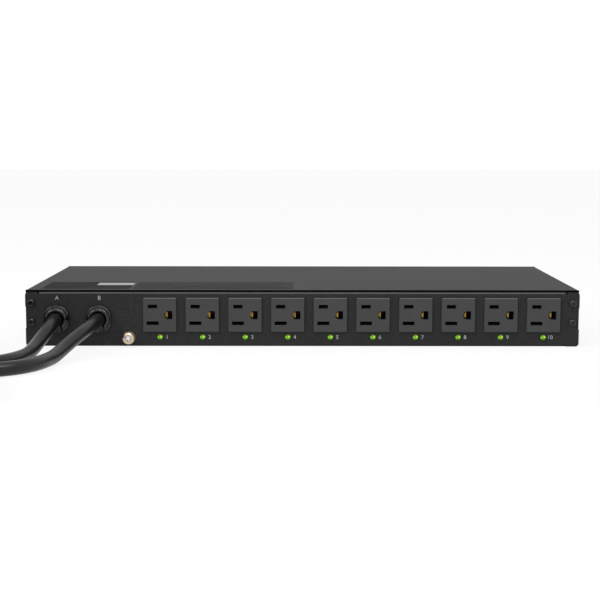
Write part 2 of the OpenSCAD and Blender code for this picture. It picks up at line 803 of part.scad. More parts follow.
// Outer shape of a wound coil
module coil(at) {
    color("black") translate([at[0], rear_y + at[1], 0])
        rotate_extrude() translate([coil_r, coil_h / 2]) polygon(round_rect(coil_w, coil_h, 3));
}

// Places a plug that is drawn along +y from the end of its cord, at the cord's axis
module at_plug(at, way) {
    translate([at[0] + plug_at[0], rear_y + at[1] + way * plug_at[1], plug_axis])
        rotate([0, 0, way > 0 ? 0 : 180]) children();
}

// Moulded plug with a tapered, ribbed relief
module plug(at, way) {
    rib = 3.4;
    ribs = 6;
    color("black") at_plug(at, way) {
        difference() {
            union() {
                rotate([-90, 0, 0]) rotate_extrude() polygon([[0, 0.05], [cord_d / 2 + 1, 0.05],
                    [cord_d / 2 + 3.4, plug_relief], [cord_d / 2 + 3.4, plug_relief + 4],
                    [0, plug_relief + 4]]);
                translate([0, plug_relief, 0]) plug_body();
            }
            for (k = [1:ribs])
                rotate([-90, 0, 0]) translate([0, 0, k * rib + 2])
                    difference() {
                        cylinder(h = 1.4, r = 20);
                        translate([0, 0, -e]) cylinder(h = 2, r = cord_d / 2 + 0.4 + 0.1 * k);
                    }
        }
    }
}

// The plug's body: a D-shaped block that widens from the relief to the face
module plug_body() {
    outline = concat(arc(plug_w / 2 - 3, -plug_drop + 3, 3, 270, 360),
        arc(0, 0, plug_w / 2, 0, 180, 14), arc(3 - plug_w / 2, -plug_drop + 3, 3, 180, 270));
    intersection() {
        along_y(outline, 0, plug_body);
        linear_extrude(4 * plug_drop, center = true)
            polygon([[-8, 0], [8, 0], [plug_w / 2 - 1.5, 8], [plug_w / 2 - 1.5, 26],
                [plug_w / 2, 29], [plug_w / 2, plug_body], [-plug_w / 2, plug_body],
                [-plug_w / 2, 29], [1.5 - plug_w / 2, 26], [1.5 - plug_w / 2, 8]]);
    }
}

// Two flat blades and a round ground pin
module plug_pins(at, way) {
    face = plug_relief + plug_body;
    blade_z = -5;
    color("silver") at_plug(at, way) {
        for (side = [-1, 1]) difference() {
            block(side * blade_spacing / 2 - blade_t / 2, face, blade_z - blade_w / 2, blade_t,
                blade_l, blade_w);
            translate([-20, face + blade_l - 3.5, blade_z]) rotate([0, 90, 0])
                cylinder(h = 40, r = 1.6);
        }
        rod_y(0, blade_z + ground_offset, pin_r, face, face + pin_l - pin_r);
        translate([0, face + pin_l - pin_r, blade_z + ground_offset]) rotate([-90, 0, 0])
            rotate_extrude() polygon(concat([[0, -e], [pin_r, -e]], arc(0, 0, pin_r, 0, 90)));
    }
}

// ---- Control panel ----

module display_window() {
    color([0.1, 0.12, 0.14]) {
        block(window_x - window_w / 2 + slip, front_back - 1, window_z - window_h / 2 + slip,
            window_w - 2 * slip, sheet_t + 0.8, window_h - 2 * slip);
        block(window_x - window_w / 2 - window_rim, front_back - 1.5,
            window_z - window_h / 2 - window_rim, window_w + 2 * window_rim, 1.5 - 0.02,
            window_h + 2 * window_rim);
    }
}

module display_board() {
    face = front_back - switch_gap;
    color(board) {
        block(display_x[0], face - pcb_t, 6, display_x[1] - display_x[0], pcb_t, 31);
        block(window_x - window_w / 2, face - e, window_z - window_h / 2, window_w,
            switch_gap - 1.5 - 0.02 + e, window_h);
        for (x = button_xs) {
            block(x - 3, face - e, button_z - 3, 6, switch_h + e, 6);
        }
    }
}

// A button cap with a collar behind the panel and a stem that presses its switch
module button(x) {
    stem = -switch_gap + switch_h + button_travel + button_gap;
    color("gray") translate([x, front_back, button_z])
        rotate([-90, 0, 0]) rotate_extrude() polygon(concat(
            [[0, stem], [1.6, stem], [1.6, -collar_t - button_gap],
             [collar_r, -collar_t - button_gap], [collar_r, -button_gap], [button_d / 2, -button_gap]],
            arc(button_d / 2 - 0.6, sheet_t + button_proud - 0.6, 0.6, 0, 90),
            [[0, sheet_t + button_proud]]));
}

// A snap-in thermal breaker behind the control panel
module breaker(x) {
    color("black") translate([x, 0, breaker_z]) difference() {
        union() {
            block(-breaker_w / 2, front_y - breaker_l, -breaker_h / 2, breaker_w, breaker_l + e,
                breaker_h);
            along_y(round_rect(breaker_w + 2 * bezel_rim, breaker_h + 2 * bezel_rim, 1.5), front_y,
                front_y + bezel_t);
        }
        rod_y(0, 0, reset_d / 2 + reset_gap, front_y - 8, front_y + bezel_t + 1);
    }
}

// A reset button: pushed home at rest, it springs out when its breaker trips
module reset_button(x) {
    foot = front_y - 8 + 0.3;
    color("white") translate([x, foot, breaker_z]) rotate([-90, 0, 0])
        rotate_extrude() polygon(concat([[0, 0], [reset_d / 2, 0]],
            arc(reset_d / 2 - 0.8, 8 - 0.3 + bezel_t + reset_proud - 0.8, 0.8, 0, 90),
            [[0, 8 - 0.3 + bezel_t + reset_proud]]));
}

module network_jack() {
    face = front_y + jack_proud;
    z = pcb_top;
    cz = z + 2.4;
    color("silver") difference() {
        block(jack_x - jack_w / 2, face - jack_l, z, jack_w, jack_l, jack_h);
        block(jack_x - cavity_w / 2, face - cavity_l, cz, cavity_w, cavity_l + e, cavity_h);
        // the keyway for the plug's latch
        block(jack_x - 3.2, face - cavity_l, cz + cavity_h - e, 6.4, cavity_l + e, 1.5);
        block(jack_x - 1.7, face - cavity_l, cz + cavity_h + 1.4, 3.4, cavity_l + e, 1.2);
    }
}

module status_lenses() {
    color(green) for (x = status_xs)
        translate([x, front_back - switch_gap, status_z]) rotate([0, 0, 180])
            light_pipe(status_r, switch_gap + sheet_t + 0.8, switch_gap);
}

// ---- Inner assembly ----

module control_board() {
    color(board) block(control_x[0], control_y[0], pcb_z, control_x[1] - control_x[0],
        control_y[1] - control_y[0], pcb_t);
}

module power_board() {
    color(board) block(-power_w / 2, power_y[0], pcb_z, power_w, power_y[1] - power_y[0], pcb_t);
}

module board_standoffs() {
    inset = 5;
    ends = [inset - power_w / 2, 0, power_w / 2 - inset];
    spots = concat(
        [for (x = ends, y = [power_y[0] + inset, power_y[1] - inset]) [x, y]],
        [for (x = [control_x[0] + inset, control_x[1] - inset],
              y = [control_y[0] + inset, control_y[1] - inset]) [x, y]]);
    color("silver") for (s = spots)
        translate([s[0], s[1], sheet_t]) cylinder(h = standoff_h, r = standoff_r, $fn = 6);
}

// Four thyristor modules under one finned heatsink
module thyristor_modules() {
    w = 30;
    hole_in = 4;
    color("gray") for (k = [0:3])
        translate([(k - 1.5) * module_pitch, 0, 0]) difference() {
            block(-w / 2, module_y, pcb_top, w, module_l, module_h);
            for (y = [module_y + hole_in, module_y + module_l - hole_in])
                translate([0, y, pcb_top - e]) cylinder(h = module_h + 1, r = 2.1);
        }
}

module heatsink() {
    length = 4 * module_pitch;
    width = 42;
    base_t = 4;
    fins = 12;
    fin_t = 1.2;
    fin_h = 12;
    y0 = module_y + (module_l - width) / 2;
    base = pcb_top + module_h;
    color("silver") translate([-length / 2, 0, 0]) rotate([90, 0, 90]) linear_extrude(length)
        union() {
            translate([y0, base]) square([width, base_t]);
            for (k = [0:fins - 1])
                translate([y0 + k * (width - fin_t) / (fins - 1), base + base_t - e])
                    square([fin_t, fin_h + e]);
        }
}

module transfer_relays() {
    w = 19;
    h = 16;
    length = 30;
    pitch = 26;
    color([0.12, 0.12, 0.13]) for (k = [0:3])
        translate([relay_x + k * pitch, 0, pcb_top + h / 2])
            along_y(round_rect(w, h, 1.2), relay_y, relay_y + length);
}

// A laminated core with two windows, and the winding round its middle leg
module aux_transformer() {
    w = 34;
    d = 28;
    h = 24;
    leg = 8;
    window_w = 6;
    window_h = 14;
    sill = 5;
    bulge = 3;           // the winding stands out of the core at both ends
    mid = transformer_x + w / 2;
    wound_w = leg + 2 * (window_w - slip);
    color([0.7, 0.6, 0.2]) {
        difference() {
            block(transformer_x, transformer_y, pcb_top, w, d, h);
            for (x = [mid - leg / 2 - window_w, mid + leg / 2])
                block(x, transformer_y - 1, pcb_top + sill, window_w, d + 2, window_h);
        }
        for (y = [transformer_y - bulge, transformer_y + d + 2 * e])
            block(mid - wound_w / 2, y, pcb_top + sill + slip, wound_w, bulge - 2 * e,
                window_h - 2 * slip);
    }
}

module filter_capacitors() {
    r = 6.2;
    h = 25;
    neck = 0.4;          // depth of the crimp near the foot
    crimp = 2.4;
    edge = 0.8;
    pitch = 16;
    color([0.1, 0.14, 0.3]) for (k = [0:3])
        translate([capacitor_x + k * pitch, capacitor_y, pcb_top]) rotate_extrude()
            polygon(concat([[0, 0], [r, 0], [r, crimp - neck], [r - neck, crimp], [r, crimp + neck]],
                arc(r - edge, h - edge, edge, 0, 90), [[0, h]]));
}

// Ring sensors on their feet
module current_sensors() {
    r = 11;
    bore = 5;
    t = 10;
    foot_h = 8;
    color([0.1, 0.2, 0.35]) for (x = sensor_xs)
        translate([x, sensor_y, pcb_top + r]) difference() {
            union() {
                rod_y(0, 0, r, -t / 2, t / 2);
                block(-r, -t / 2, -r, 2 * r, t, foot_h);
            }
            rod_y(0, 0, bore, -t, t);
        }
}

module terminal_blocks() {
    poles = 6;
    pitch = 9.5;
    depth = 14;
    shoulder = 10;
    top = 15;
    screw_in = 6;        // clamp screws, from the block's edge, and the wire entries below them
    entry_w = pitch - 4;
    entry_h = 5;
    y = terminal_y;
    color([0.15, 0.35, 0.2]) for (x = terminal_xs)
        difference() {
            along_x([[y, pcb_top], [y + depth, pcb_top], [y + depth, pcb_top + shoulder],
                [y + depth - 4, pcb_top + top], [y + 2, pcb_top + top], [y, pcb_top + top - 3]],
                x, x + poles * pitch);
            for (k = [0:poles - 1]) {
                translate([x + (k + 0.5) * pitch, y + screw_in, pcb_top + screw_in])
                    cylinder(h = top, r = 2.4);
                block(x + k * pitch + (pitch - entry_w) / 2, y - 1, pcb_top + 2, entry_w,
                    screw_in + 2, entry_h);
            }
        }
}

chassis_tray();
top_cover();
rear_panel();
front_panel();
panel_screws();
cover_screws();
cover_labels();
for (i = [1:OUTLETS]) outlet(i);
hot_contacts();
neutral_contacts();
ground_contacts();
hot_busbar();
neutral_busbar();
ground_busbar();
indicator_lenses();
indicator_board();
strain_relief(-input_a);  // strain_relief_a
strain_relief(-input_b);  // strain_relief_b
ground_screw();
ground_lock_washer();
ground_flat_washers();
cord(lead_a, coil_a_at, 1);  // cord_a
cord(lead_b, coil_b_at, -1);  // cord_b
coil(coil_a_at);  // coil_a
coil(coil_b_at);  // coil_b
plug(coil_a_at, 1);  // plug_a
plug(coil_b_at, -1);  // plug_b
plug_pins(coil_a_at, 1);  // plug_pins_a
plug_pins(coil_b_at, -1);  // plug_pins_b
display_window();
display_board();
button(button_xs[0]);  // select_button
button(button_xs[1]);  // scroll_button
button(button_xs[2]);  // enter_button
breaker(breaker_xs[0]);  // breaker_a
breaker(breaker_xs[1]);  // breaker_b
reset_button(breaker_xs[0]);  // reset_button_a
reset_button(breaker_xs[1]);  // reset_button_b
network_jack();
status_lenses();
control_board();
power_board();
thyristor_modules();
heatsink();
transfer_relays();
aux_transformer();
filter_capacitors();
current_sensors();
terminal_blocks();
board_standoffs();
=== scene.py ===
"""Looks of a one-unit rack transfer switch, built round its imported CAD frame.

The camera looks at the outlet side. Every length is in metres and every place is in
the frame's own axes: +X to the right of the outlets, +Y towards the control panel, +Z up.
PANEL is y of the outlet panel's outer face, and FIRST_OUTLET is x of the first outlet's middle.
"""

import logging
import math
from collections.abc import Callable, Iterable, Sequence
from dataclasses import dataclass
from enum import Enum
from functools import cache
from typing import Protocol

import bmesh
import bpy
from mathutils import Matrix, Vector


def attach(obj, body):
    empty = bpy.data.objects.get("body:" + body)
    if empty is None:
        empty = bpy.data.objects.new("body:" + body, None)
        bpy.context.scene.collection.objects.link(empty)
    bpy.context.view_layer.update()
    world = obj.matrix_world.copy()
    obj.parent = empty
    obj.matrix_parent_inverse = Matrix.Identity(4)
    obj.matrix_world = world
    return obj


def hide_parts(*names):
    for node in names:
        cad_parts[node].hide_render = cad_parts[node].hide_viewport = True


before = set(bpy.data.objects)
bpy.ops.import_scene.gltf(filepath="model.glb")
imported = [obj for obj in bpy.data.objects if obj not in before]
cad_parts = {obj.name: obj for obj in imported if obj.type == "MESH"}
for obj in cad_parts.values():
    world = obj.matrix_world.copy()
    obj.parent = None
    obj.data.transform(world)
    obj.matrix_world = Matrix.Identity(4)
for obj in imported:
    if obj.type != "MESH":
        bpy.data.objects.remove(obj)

LOG = logging.getLogger("transfer_switch")
MM = 0.001
CHASSIS = "chassis"
BLACK = (0.0, 0.0, 0.0)
PANEL = -95 * MM
OUTLET_COUNT = 10
OUTLET_PITCH = 32.33 * MM
FIRST_OUTLET = -108.1 * MM
INK_FILM = 0.03 * MM

Colour = tuple[float, float, float]
Point = tuple[float, float, float]
Span = tuple[float, float]
Socket = bpy.types.NodeSocket
Axes = bpy.types.bpy_prop_collection


# ---------------------------------------------------------------- node graphs


class Graph:
    """A material's node tree, with short calls to add and join nodes."""

    def __init__(self, name: str) -> None:
        """Starts an empty material.

        Args:
            name: the material's name.
        """
        self.material = bpy.data.materials.new(name)
        self.material.use_nodes = True
        self.tree = self.material.node_tree
        self.tree.nodes.clear()
        self.output = self.tree.nodes.new("ShaderNodeOutputMaterial")

    def add(self, kind: str, settings: dict | None = None, **inputs: object) -> bpy.types.Node:
        """Adds a node.

        Args:
            kind: the node's type without its ShaderNode prefix.
            settings: properties of the node itself.
            inputs: values or sockets for its inputs, with spaces written as underscores.

        Returns:
            The new node.
        """
        node = self.tree.nodes.new("ShaderNode" + kind)
        for key, value in (settings or {}).items():
            setattr(node, key, value)
        for key, value in inputs.items():
            self.feed(node, key.replace("_", " "), value)
        return node

    def feed(self, node: bpy.types.Node, key: str | int, value: object) -> None:
        """Sets an input to a value, or links it to a socket.

        Args:
            node: the node that has the input.
            key: the input's name or number.
            value: a socket, or a constant.
        """
        socket = node.inputs[key]
        if isinstance(value, Socket):
            self.tree.links.new(value, socket)
        else:
            socket.default_value = value

    def place(self, scale: Point = (1, 1, 1)) -> Socket:
        """Object coordinates, scaled along each axis."""
        coords = self.add("TexCoord")
        return self.add("Mapping", Vector=coords.outputs["Object"], Scale=scale).outputs["Vector"]

    def noise(self, vector: Socket, scale: float, detail: float = 3) -> Socket:
        """A noise value.

        Args:
            vector: where it is read.
            scale: its scale, in features a metre.
            detail: its detail.

        Returns:
            The value's socket.
        """
        return self.add("TexNoise", Vector=vector, Scale=scale, Detail=detail).outputs["Fac"]

    def ramp(self, value: Socket, low: float, high: float, to_low: float,
             to_high: float) -> Socket:
        """Maps one range of a value to another.

        Args:
            value: the value's socket.
            low: start of its range.
            high: end of its range.
            to_low: result at the start.
            to_high: result at the end.

        Returns:
            The result's socket.
        """
        node = self.add("MapRange")
        self.feed(node, "Value", value)
        ends = {"From Min": low, "From Max": high, "To Min": to_low, "To Max": to_high}
        for key, number in ends.items():
            self.feed(node, key, number)
        return node.outputs["Result"]

    def spread(self, noise: Socket, to_low: float, to_high: float) -> Socket:
        """Maps the middle range of a noise, 0.3 to 0.7, to another range."""
        return self.ramp(noise, 0.3, 0.7, to_low, to_high)

    def axes(self, vector: Socket) -> Axes:
        """A vector's numbers, by the names X, Y and Z."""
        return self.add("SeparateXYZ", Vector=vector).outputs

    def facing(self) -> Axes:
        """The face's own direction, by the names X, Y and Z."""
        return self.axes(self.add("NewGeometry").outputs["True Normal"])

    def between(self, value: Socket, low: float, high: float) -> Socket:
        """One where a value lies between two others."""
        return self.math("MULTIPLY", self.math("GREATER_THAN", value, low),
                         self.math("LESS_THAN", value, high))

    def distance(self, across: Socket, rise: Socket, spot: Span) -> Socket:
        """Distance from a spot in an upright plane.

        Args:
            across: place across the plane.
            rise: place up the plane.
            spot: the spot, across and up.

        Returns:
            The distance's socket.
        """
        x = self.math("SUBTRACT", across, spot[0])
        z = self.math("SUBTRACT", rise, spot[1])
        squares = self.math("ADD", self.math("MULTIPLY", x, x), self.math("MULTIPLY", z, z))
        return self.math("SQRT", squares)

    def shades(self, noise: Socket, colour: Colour, shares: Span, low: float = 0.3) -> Socket:
        """A colour that a noise turns from one shade of itself to another.

        Args:
            noise: the noise.
            colour: the colour.
            shares: brightness of the two shades.
            low: the noise's value where the second shade begins to show.

        Returns:
            The colour's socket.
        """
        first, second = (scaled(colour, share) for share in shares)
        return self.blend(self.ramp(noise, low, 0.7, 0, 1), first, second)

    def math(self, operation: str, *values: object) -> Socket:
        """A math node.

        Args:
            operation: its operation.
            values: its operands.

        Returns:
            The result's socket.
        """
        node = self.add("Math", {"operation": operation})
        for index, value in enumerate(values):
            self.feed(node, index, value)
        return node.outputs["Value"]

    def blend(self, amount: object, first: object, second: object) -> Socket:
        """Mixes two colours.

        Args:
            amount: share of the second.
            first: a colour, as three numbers or a socket.
            second: the other colour.

        Returns:
            The mixed colour's socket.
        """
        node = self.add("Mix", {"data_type": "RGBA"})
        self.feed(node, 0, amount)
        for index, colour in ((6, first), (7, second)):
            self.feed(node, index, colour if isinstance(colour, Socket) else (*colour, 1))
        return node.outputs[2]

    def bump(self, height: Socket, distance: float, strength: float) -> Socket:
        """A bumped normal.

        Args:
            height: the height's socket.
            distance: depth of the bump.
            strength: its strength.

        Returns:
            The normal's socket.
        """
        node = self.add("Bump", Height=height, Distance=distance, Strength=strength)
        return node.outputs["Normal"]

    def finish(self, shader: bpy.types.Node) -> bpy.types.Material:
        """Joins the shader to the output and gives the material."""
        self.tree.links.new(shader.outputs[0], self.output.inputs["Surface"])
        return self.material

    def principled(self, **inputs: object) -> bpy.types.Material:
        """Ends the material in a principled shader with these inputs."""
        return self.finish(self.add("BsdfPrincipled", **inputs))


# ---------------------------------------------------------------- finishes


def scaled(colour: Colour, share: float) -> Colour:
    """A lighter or darker shade of a colour."""
    return tuple(c * share for c in colour)


class Finish(Protocol):
    """A finish, which can be made into a material."""

    def build(self) -> bpy.types.Material:
        """Makes the material."""


@cache
def material_of(finish: Finish) -> bpy.types.Material:
    """A finish's material, made at its first use."""
    return finish.build()


@dataclass(frozen=True)
class PowderCoat:
    """Fine-textured powder coat on steel, with a painted highlight, paler and smoother, on the panels' top
    folds, and painted shade on the cover's lips.
    """

    name: str = "powder_coat"
    colour: Colour = (0.0293, 0.0293, 0.0296)
    # colour of the painted highlight along the panels' top folds
    highlight_colour: Colour = (0.12, 0.12, 0.12)
    roughness: float = 0.62
    drift: float = 0.07
    polish: float = 0.2
    gloss: float = 0.095
    grain: float = 1700
    speck_grain: float = 4590
    cloud_grain: float = 11
    depth: float = 0.07 * MM
    fold: Span = (39.6 * MM, 41.5 * MM)
    lip: Span = (41.4 * MM, 43.1 * MM)
    lip_dark: float = 0.85

    def build(self) -> bpy.types.Material:
        """The coat's material.

        Returns:
            The new material.
        """
        graph = Graph(self.name)
        where = graph.place()
        height = graph.axes(where)["Z"]
        facing = graph.facing()
        fine = graph.noise(where, self.grain, 2)
        speck = graph.noise(where, self.speck_grain, 1)
        cloud = graph.noise(where, self.cloud_grain, 3)
        tint = graph.shades(fine, self.colour, (0.8, 1.5), low=0.35)
        tint = graph.blend(graph.ramp(speck, 0.62, 0.72, 0, 0.5), tint, scaled(self.colour, 2.6))
        tint = graph.blend(graph.spread(cloud, 0, 0.22), tint, scaled(self.colour, 0.6))
        # painted highlight where the top folds catch the light: paler, and smoother too
        highlight = self.fold_highlight(graph, height, facing)
        mottled_highlight = graph.math("MULTIPLY", highlight, graph.ramp(fine, 0.3, 0.6, 0.6, 1))
        tint = graph.blend(mottled_highlight, tint, self.highlight_colour)
        # painted shade on the upright faces along the cover's lips, on both colour and gloss
        shade = graph.math("MULTIPLY", self.lip_shade(graph, height, facing), self.lip_dark)
        lit = graph.math("SUBTRACT", 1, shade)
        rough = graph.spread(fine, self.roughness - self.drift, self.roughness + self.drift)
        relief = graph.math("ADD", fine, graph.math("MULTIPLY", speck, 0.4))
        return graph.principled(
            Base_Color=graph.blend(lit, BLACK, tint),
            Specular_IOR_Level=graph.math("MULTIPLY", lit, self.gloss),
            Roughness=graph.math("SUBTRACT", rough, graph.math("MULTIPLY", highlight, self.polish)),
            Normal=graph.bump(relief, self.depth, 0.45))

    def lip_shade(self, graph: Graph, height: Socket, facing: Axes) -> Socket:
        """One on the upright faces along the cover's lips, which stay in shade.

        Args:
            graph: the material's graph.
            height: height above the floor.
            facing: the face's direction.

        Returns:
            The share of shade.
        """
        upright = graph.ramp(graph.math("ABSOLUTE", facing["Y"]), 0.5, 0.8, 0, 1)
        return graph.math("MULTIPLY", graph.between(height, *self.lip), upright)

    def fold_highlight(self, graph: Graph, height: Socket, facing: Axes) -> Socket:
        """Painted highlight along the top folds: one only where a panel's top fold faces up and out.

        Args:
            graph: the material's graph.
            height: height above the floor.
            facing: the face's direction.

        Returns:
            The share of painted highlight.
        """
        up = graph.ramp(facing["Z"], 0.12, 0.4, 0, 1)
        out = graph.ramp(graph.math("ABSOLUTE", facing["Y"]), 0.1, 0.3, 0, 1)
        folded = graph.math("MULTIPLY", graph.between(height, *self.fold), up)
        return graph.math("MULTIPLY", folded, out)


@dataclass(frozen=True)
class Moulded:
    """Moulded plastic with a fine grain, and painted highlights and painted shade on its rims where it has
    them.
    """

    name: str
    colour: Colour
    roughness: float = 0.45
    grain: float = 2600
    depth: float = 0.03 * MM
    gloss: float = 0.5
    rims: float = 0.0
    rim_from: float = 35 * MM
    cloud_grain: float = 60

    def build(self) -> bpy.types.Material:
        """The plastic's material.

        Returns:
            The new material.
        """
        graph = Graph(self.name)
        where = graph.place()
        cloud = graph.noise(where, self.cloud_grain, 3)
        tint = graph.shades(cloud, self.colour, (0.92, 1.08))
        # painted highlights and painted shade on the rims
        if self.rims:
            tint = self.painted_rim_light(graph, where, tint)
        return graph.principled(
            Base_Color=tint, Specular_IOR_Level=self.gloss,
            Roughness=graph.spread(cloud, self.roughness - 0.04, self.roughness + 0.05),
            Normal=graph.bump(graph.noise(where, self.grain, 2), self.depth, 0.3))

    def painted_rim_light(self, graph: Graph, where: Socket, tint: Socket) -> Socket:
        """Paints highlights on the topmost rims, and paints shade on those that face right or down.

        Args:
            graph: the material's graph.
            where: the place.
            tint: the plastic's colour.

        Returns:
            The colour with its rims.
        """
        facing = graph.facing()
        high = graph.math("GREATER_THAN", graph.axes(where)["Z"], self.rim_from)
        upper = graph.math("MULTIPLY", graph.ramp(facing["Z"], 0.3, 0.6, 0, self.rims), high)
        lower = graph.math("MAXIMUM", graph.ramp(facing["X"], 0.3, 0.6, 0, 1),
                           graph.ramp(facing["Z"], -0.3, -0.6, 0, 1))
        # painted highlight on the upper rims, then painted shade on those facing right or down
        tint = graph.blend(upper, tint, scaled(self.colour, 4))
        return graph.blend(graph.math("MULTIPLY", lower, 0.8), tint, BLACK)


@dataclass(frozen=True)
class Jacket:
    """Extruded vinyl jacket: satin, with faint draw lines along the cord."""

    name: str = "cord_jacket"
    colour: Colour = (0.0062, 0.0062, 0.0065)
    roughness: float = 0.32
    gloss: float = 0.34
    lines: Point = (60, 4, 1)
    grain: float = 900
    depth: float = 0.03 * MM

    def build(self) -> bpy.types.Material:
        """The jacket's material, which follows the cord by its UV map.

        Returns:
            The new material.
        """
        graph = Graph(self.name)
        run = graph.add("TexCoord").outputs["UV"]
        drawn = graph.noise(graph.add("Mapping", Vector=run, Scale=self.lines).outputs["Vector"], 1, 2)
        mottle = graph.noise(graph.place(), self.grain, 2)
        relief = graph.math("ADD", drawn, graph.math("MULTIPLY", mottle, 0.4))
        return graph.principled(
            Base_Color=graph.shades(drawn, self.colour, (0.85, 1.25)), Specular_IOR_Level=self.gloss,
            Roughness=graph.spread(mottle, self.roughness - 0.05, self.roughness + 0.07),
            Normal=graph.bump(relief, self.depth, 0.15))


@dataclass(frozen=True)
class Plated:
    """Plated or bare metal with fine rubbing marks."""

    name: str
    colour: Colour
    roughness: float = 0.28
    grain: float = 700
    stain_grain: float = 250
    dark_behind: Span | None = None
    # colour of the painted shade behind those depths
    recess_shade: Colour = (0.004, 0.004, 0.005)

    def build(self) -> bpy.types.Material:
        """The metal's material, with painted shade darkening it behind the given depths along y.

        Returns:
            The new material.
        """
        graph = Graph(self.name)
        where = graph.place()
        rub = graph.noise(where, self.grain, 4)
        tint = graph.shades(graph.noise(where, self.stain_grain, 3), self.colour, (1, 0.72), low=0.35)
        # painted shade deep inside the receptacles' slots and holes
        if self.dark_behind:
            behind = graph.ramp(graph.axes(where)["Y"], *self.dark_behind, 0, 0.95)
            tint = graph.blend(behind, tint, self.recess_shade)
        return graph.principled(
            Base_Color=tint, Metallic=1.0,
            Roughness=graph.spread(rub, self.roughness - 0.08, self.roughness + 0.12),
            Normal=graph.bump(rub, 0.04 * MM, 0.3))


@dataclass(frozen=True)
class LitLens:
    """A clear green light pipe, lit from behind: two hot spots in a deep green body."""

    name: str = "lit_lens"
    colour: Colour = (0.03, 0.1, 0.001)
    deep: Colour = (0.085, 0.25, 0.0)
    hot: Colour = (0.62, 1.0, 0.12)
    strength: float = 0.85
    gloss: float = 0.16
    height: float = 7 * MM
    right: Span = (0.8 * MM, 0.4 * MM)
    right_radius: float = 1.25 * MM
    left: Span = (-1.3 * MM, 0.05 * MM)
    left_radius: float = 0.85 * MM
    left_share: float = 0.75

    def build(self) -> bpy.types.Material:
        """The lens's material, whose hot spots repeat at the indicators' pitch.

        Returns:
            The new material.
        """
        graph = Graph(self.name)
        place = graph.axes(graph.place())
        along = graph.math("ADD", place["X"], OUTLET_PITCH / 2 - FIRST_OUTLET)
        across = graph.math("SUBTRACT", graph.math("FLOORED_MODULO", along, OUTLET_PITCH), OUTLET_PITCH / 2)
        rise = graph.math("SUBTRACT", place["Z"], self.height)
        right = self.spot(graph, graph.distance(across, rise, self.right), self.right_radius)
        left = self.spot(graph, graph.distance(across, rise, self.left), self.left_radius)
        light = graph.math("MAXIMUM", right, graph.math("MULTIPLY", left, self.left_share))
        rim = graph.add("LayerWeight", Blend=0.4).outputs["Facing"]
        body = graph.blend(rim, self.deep, scaled(self.deep, 0.35))
        return graph.principled(
            Base_Color=(*self.colour, 1), Roughness=0.12, Specular_IOR_Level=self.gloss,
            Emission_Color=graph.blend(light, body, self.hot), Emission_Strength=self.strength)

    @staticmethod
    def spot(graph: Graph, far: Socket, radius: float) -> Socket:
        """One in the middle of a soft round spot, none past its radius."""
        return graph.ramp(far, radius * 0.2, radius, 1, 0)


@dataclass(frozen=True)
class LabelFilm:
    """Bare label film: satin black, with the one small white label among them."""

    name: str = "label_film"
    dark: Colour = (0.010, 0.010, 0.0104)
    pale: Colour = (0.44, 0.44, 0.43)
    sheens: Span = (0.035, 0.085)
    seam: float = -130.5 * MM
    white_x: Span = (-160.4 * MM, -132.0 * MM)
    white_y: Span = (-62.4 * MM, -46.6 * MM)

    def build(self) -> bpy.types.Material:
        """The film's material.

        Returns:
            The new material.
        """
        graph = Graph(self.name)
        where = graph.place()
        place = graph.axes(where)
        white = graph.math("MULTIPLY", graph.between(place["X"], *self.white_x),
                           graph.between(place["Y"], *self.white_y))
        fibre = graph.noise(graph.place((1, 6, 1)), 500, 3)
        mottle = graph.noise(where, 60, 2)
        dark = graph.shades(mottle, self.dark, (0.8, 1.4))
        pale = graph.shades(fibre, self.pale, (1, 0.93))
        return graph.principled(
            Base_Color=graph.blend(white, dark, pale),
            Specular_IOR_Level=graph.ramp(place["X"], self.seam - MM, self.seam, *self.sheens),
            Roughness=graph.spread(mottle, 0.6, 0.72), Normal=graph.bump(fibre, 0.02 * MM, 0.2))


@dataclass(frozen=True)
class YellowZinc:
    """Zinc plate with a yellow passivation: thin-film tints drift over bright metal."""

    name: str = "yellow_zinc"
    tints: tuple[Colour, Colour, Colour] = ((0.66, 0.53, 0.36), (0.6, 0.46, 0.38), (0.62, 0.58, 0.42))
    # painted shade in a ring round the screw's recess
    edge: Colour = (0.12, 0.09, 0.06)
    # painted glint inside the recess
    recess_glint: Colour = (0.8, 0.84, 0.86)
    roughness: float = 0.24
    axis: Span = (-131.6 * MM, 6.8 * MM)
    recess: float = 2.1 * MM

    def build(self) -> bpy.types.Material:
        """The plating's material, with a painted glint in the screw's recess and painted shade in a ring
        round it.

        Returns:
            The new material.
        """
        graph = Graph(self.name)
        where = graph.place()
        place = graph.axes(where)
        rub = graph.noise(where, 1800, 3)
        tint = graph.blend(graph.ramp(graph.noise(where, 260, 3), 0.38, 0.62, 0, 1), *self.tints[:2])
        tint = graph.blend(graph.ramp(graph.noise(where, 420, 2), 0.5, 0.7, 0, 0.7), tint, self.tints[2])
        far = graph.distance(place["X"], place["Z"], self.axis)
        # painted shade round the recess, then a painted glint inside it
        tint = graph.blend(graph.ramp(far, self.recess * 1.25, self.recess, 0, 0.75), tint, self.edge)
        tint = graph.blend(graph.ramp(far, self.recess, self.recess * 0.75, 0, 1), tint, self.recess_glint)
        return graph.principled(
            Base_Color=tint, Metallic=1.0,
            Roughness=graph.spread(rub, self.roughness - 0.06, self.roughness + 0.12),
            Normal=graph.bump(rub, 0.03 * MM, 0.3))


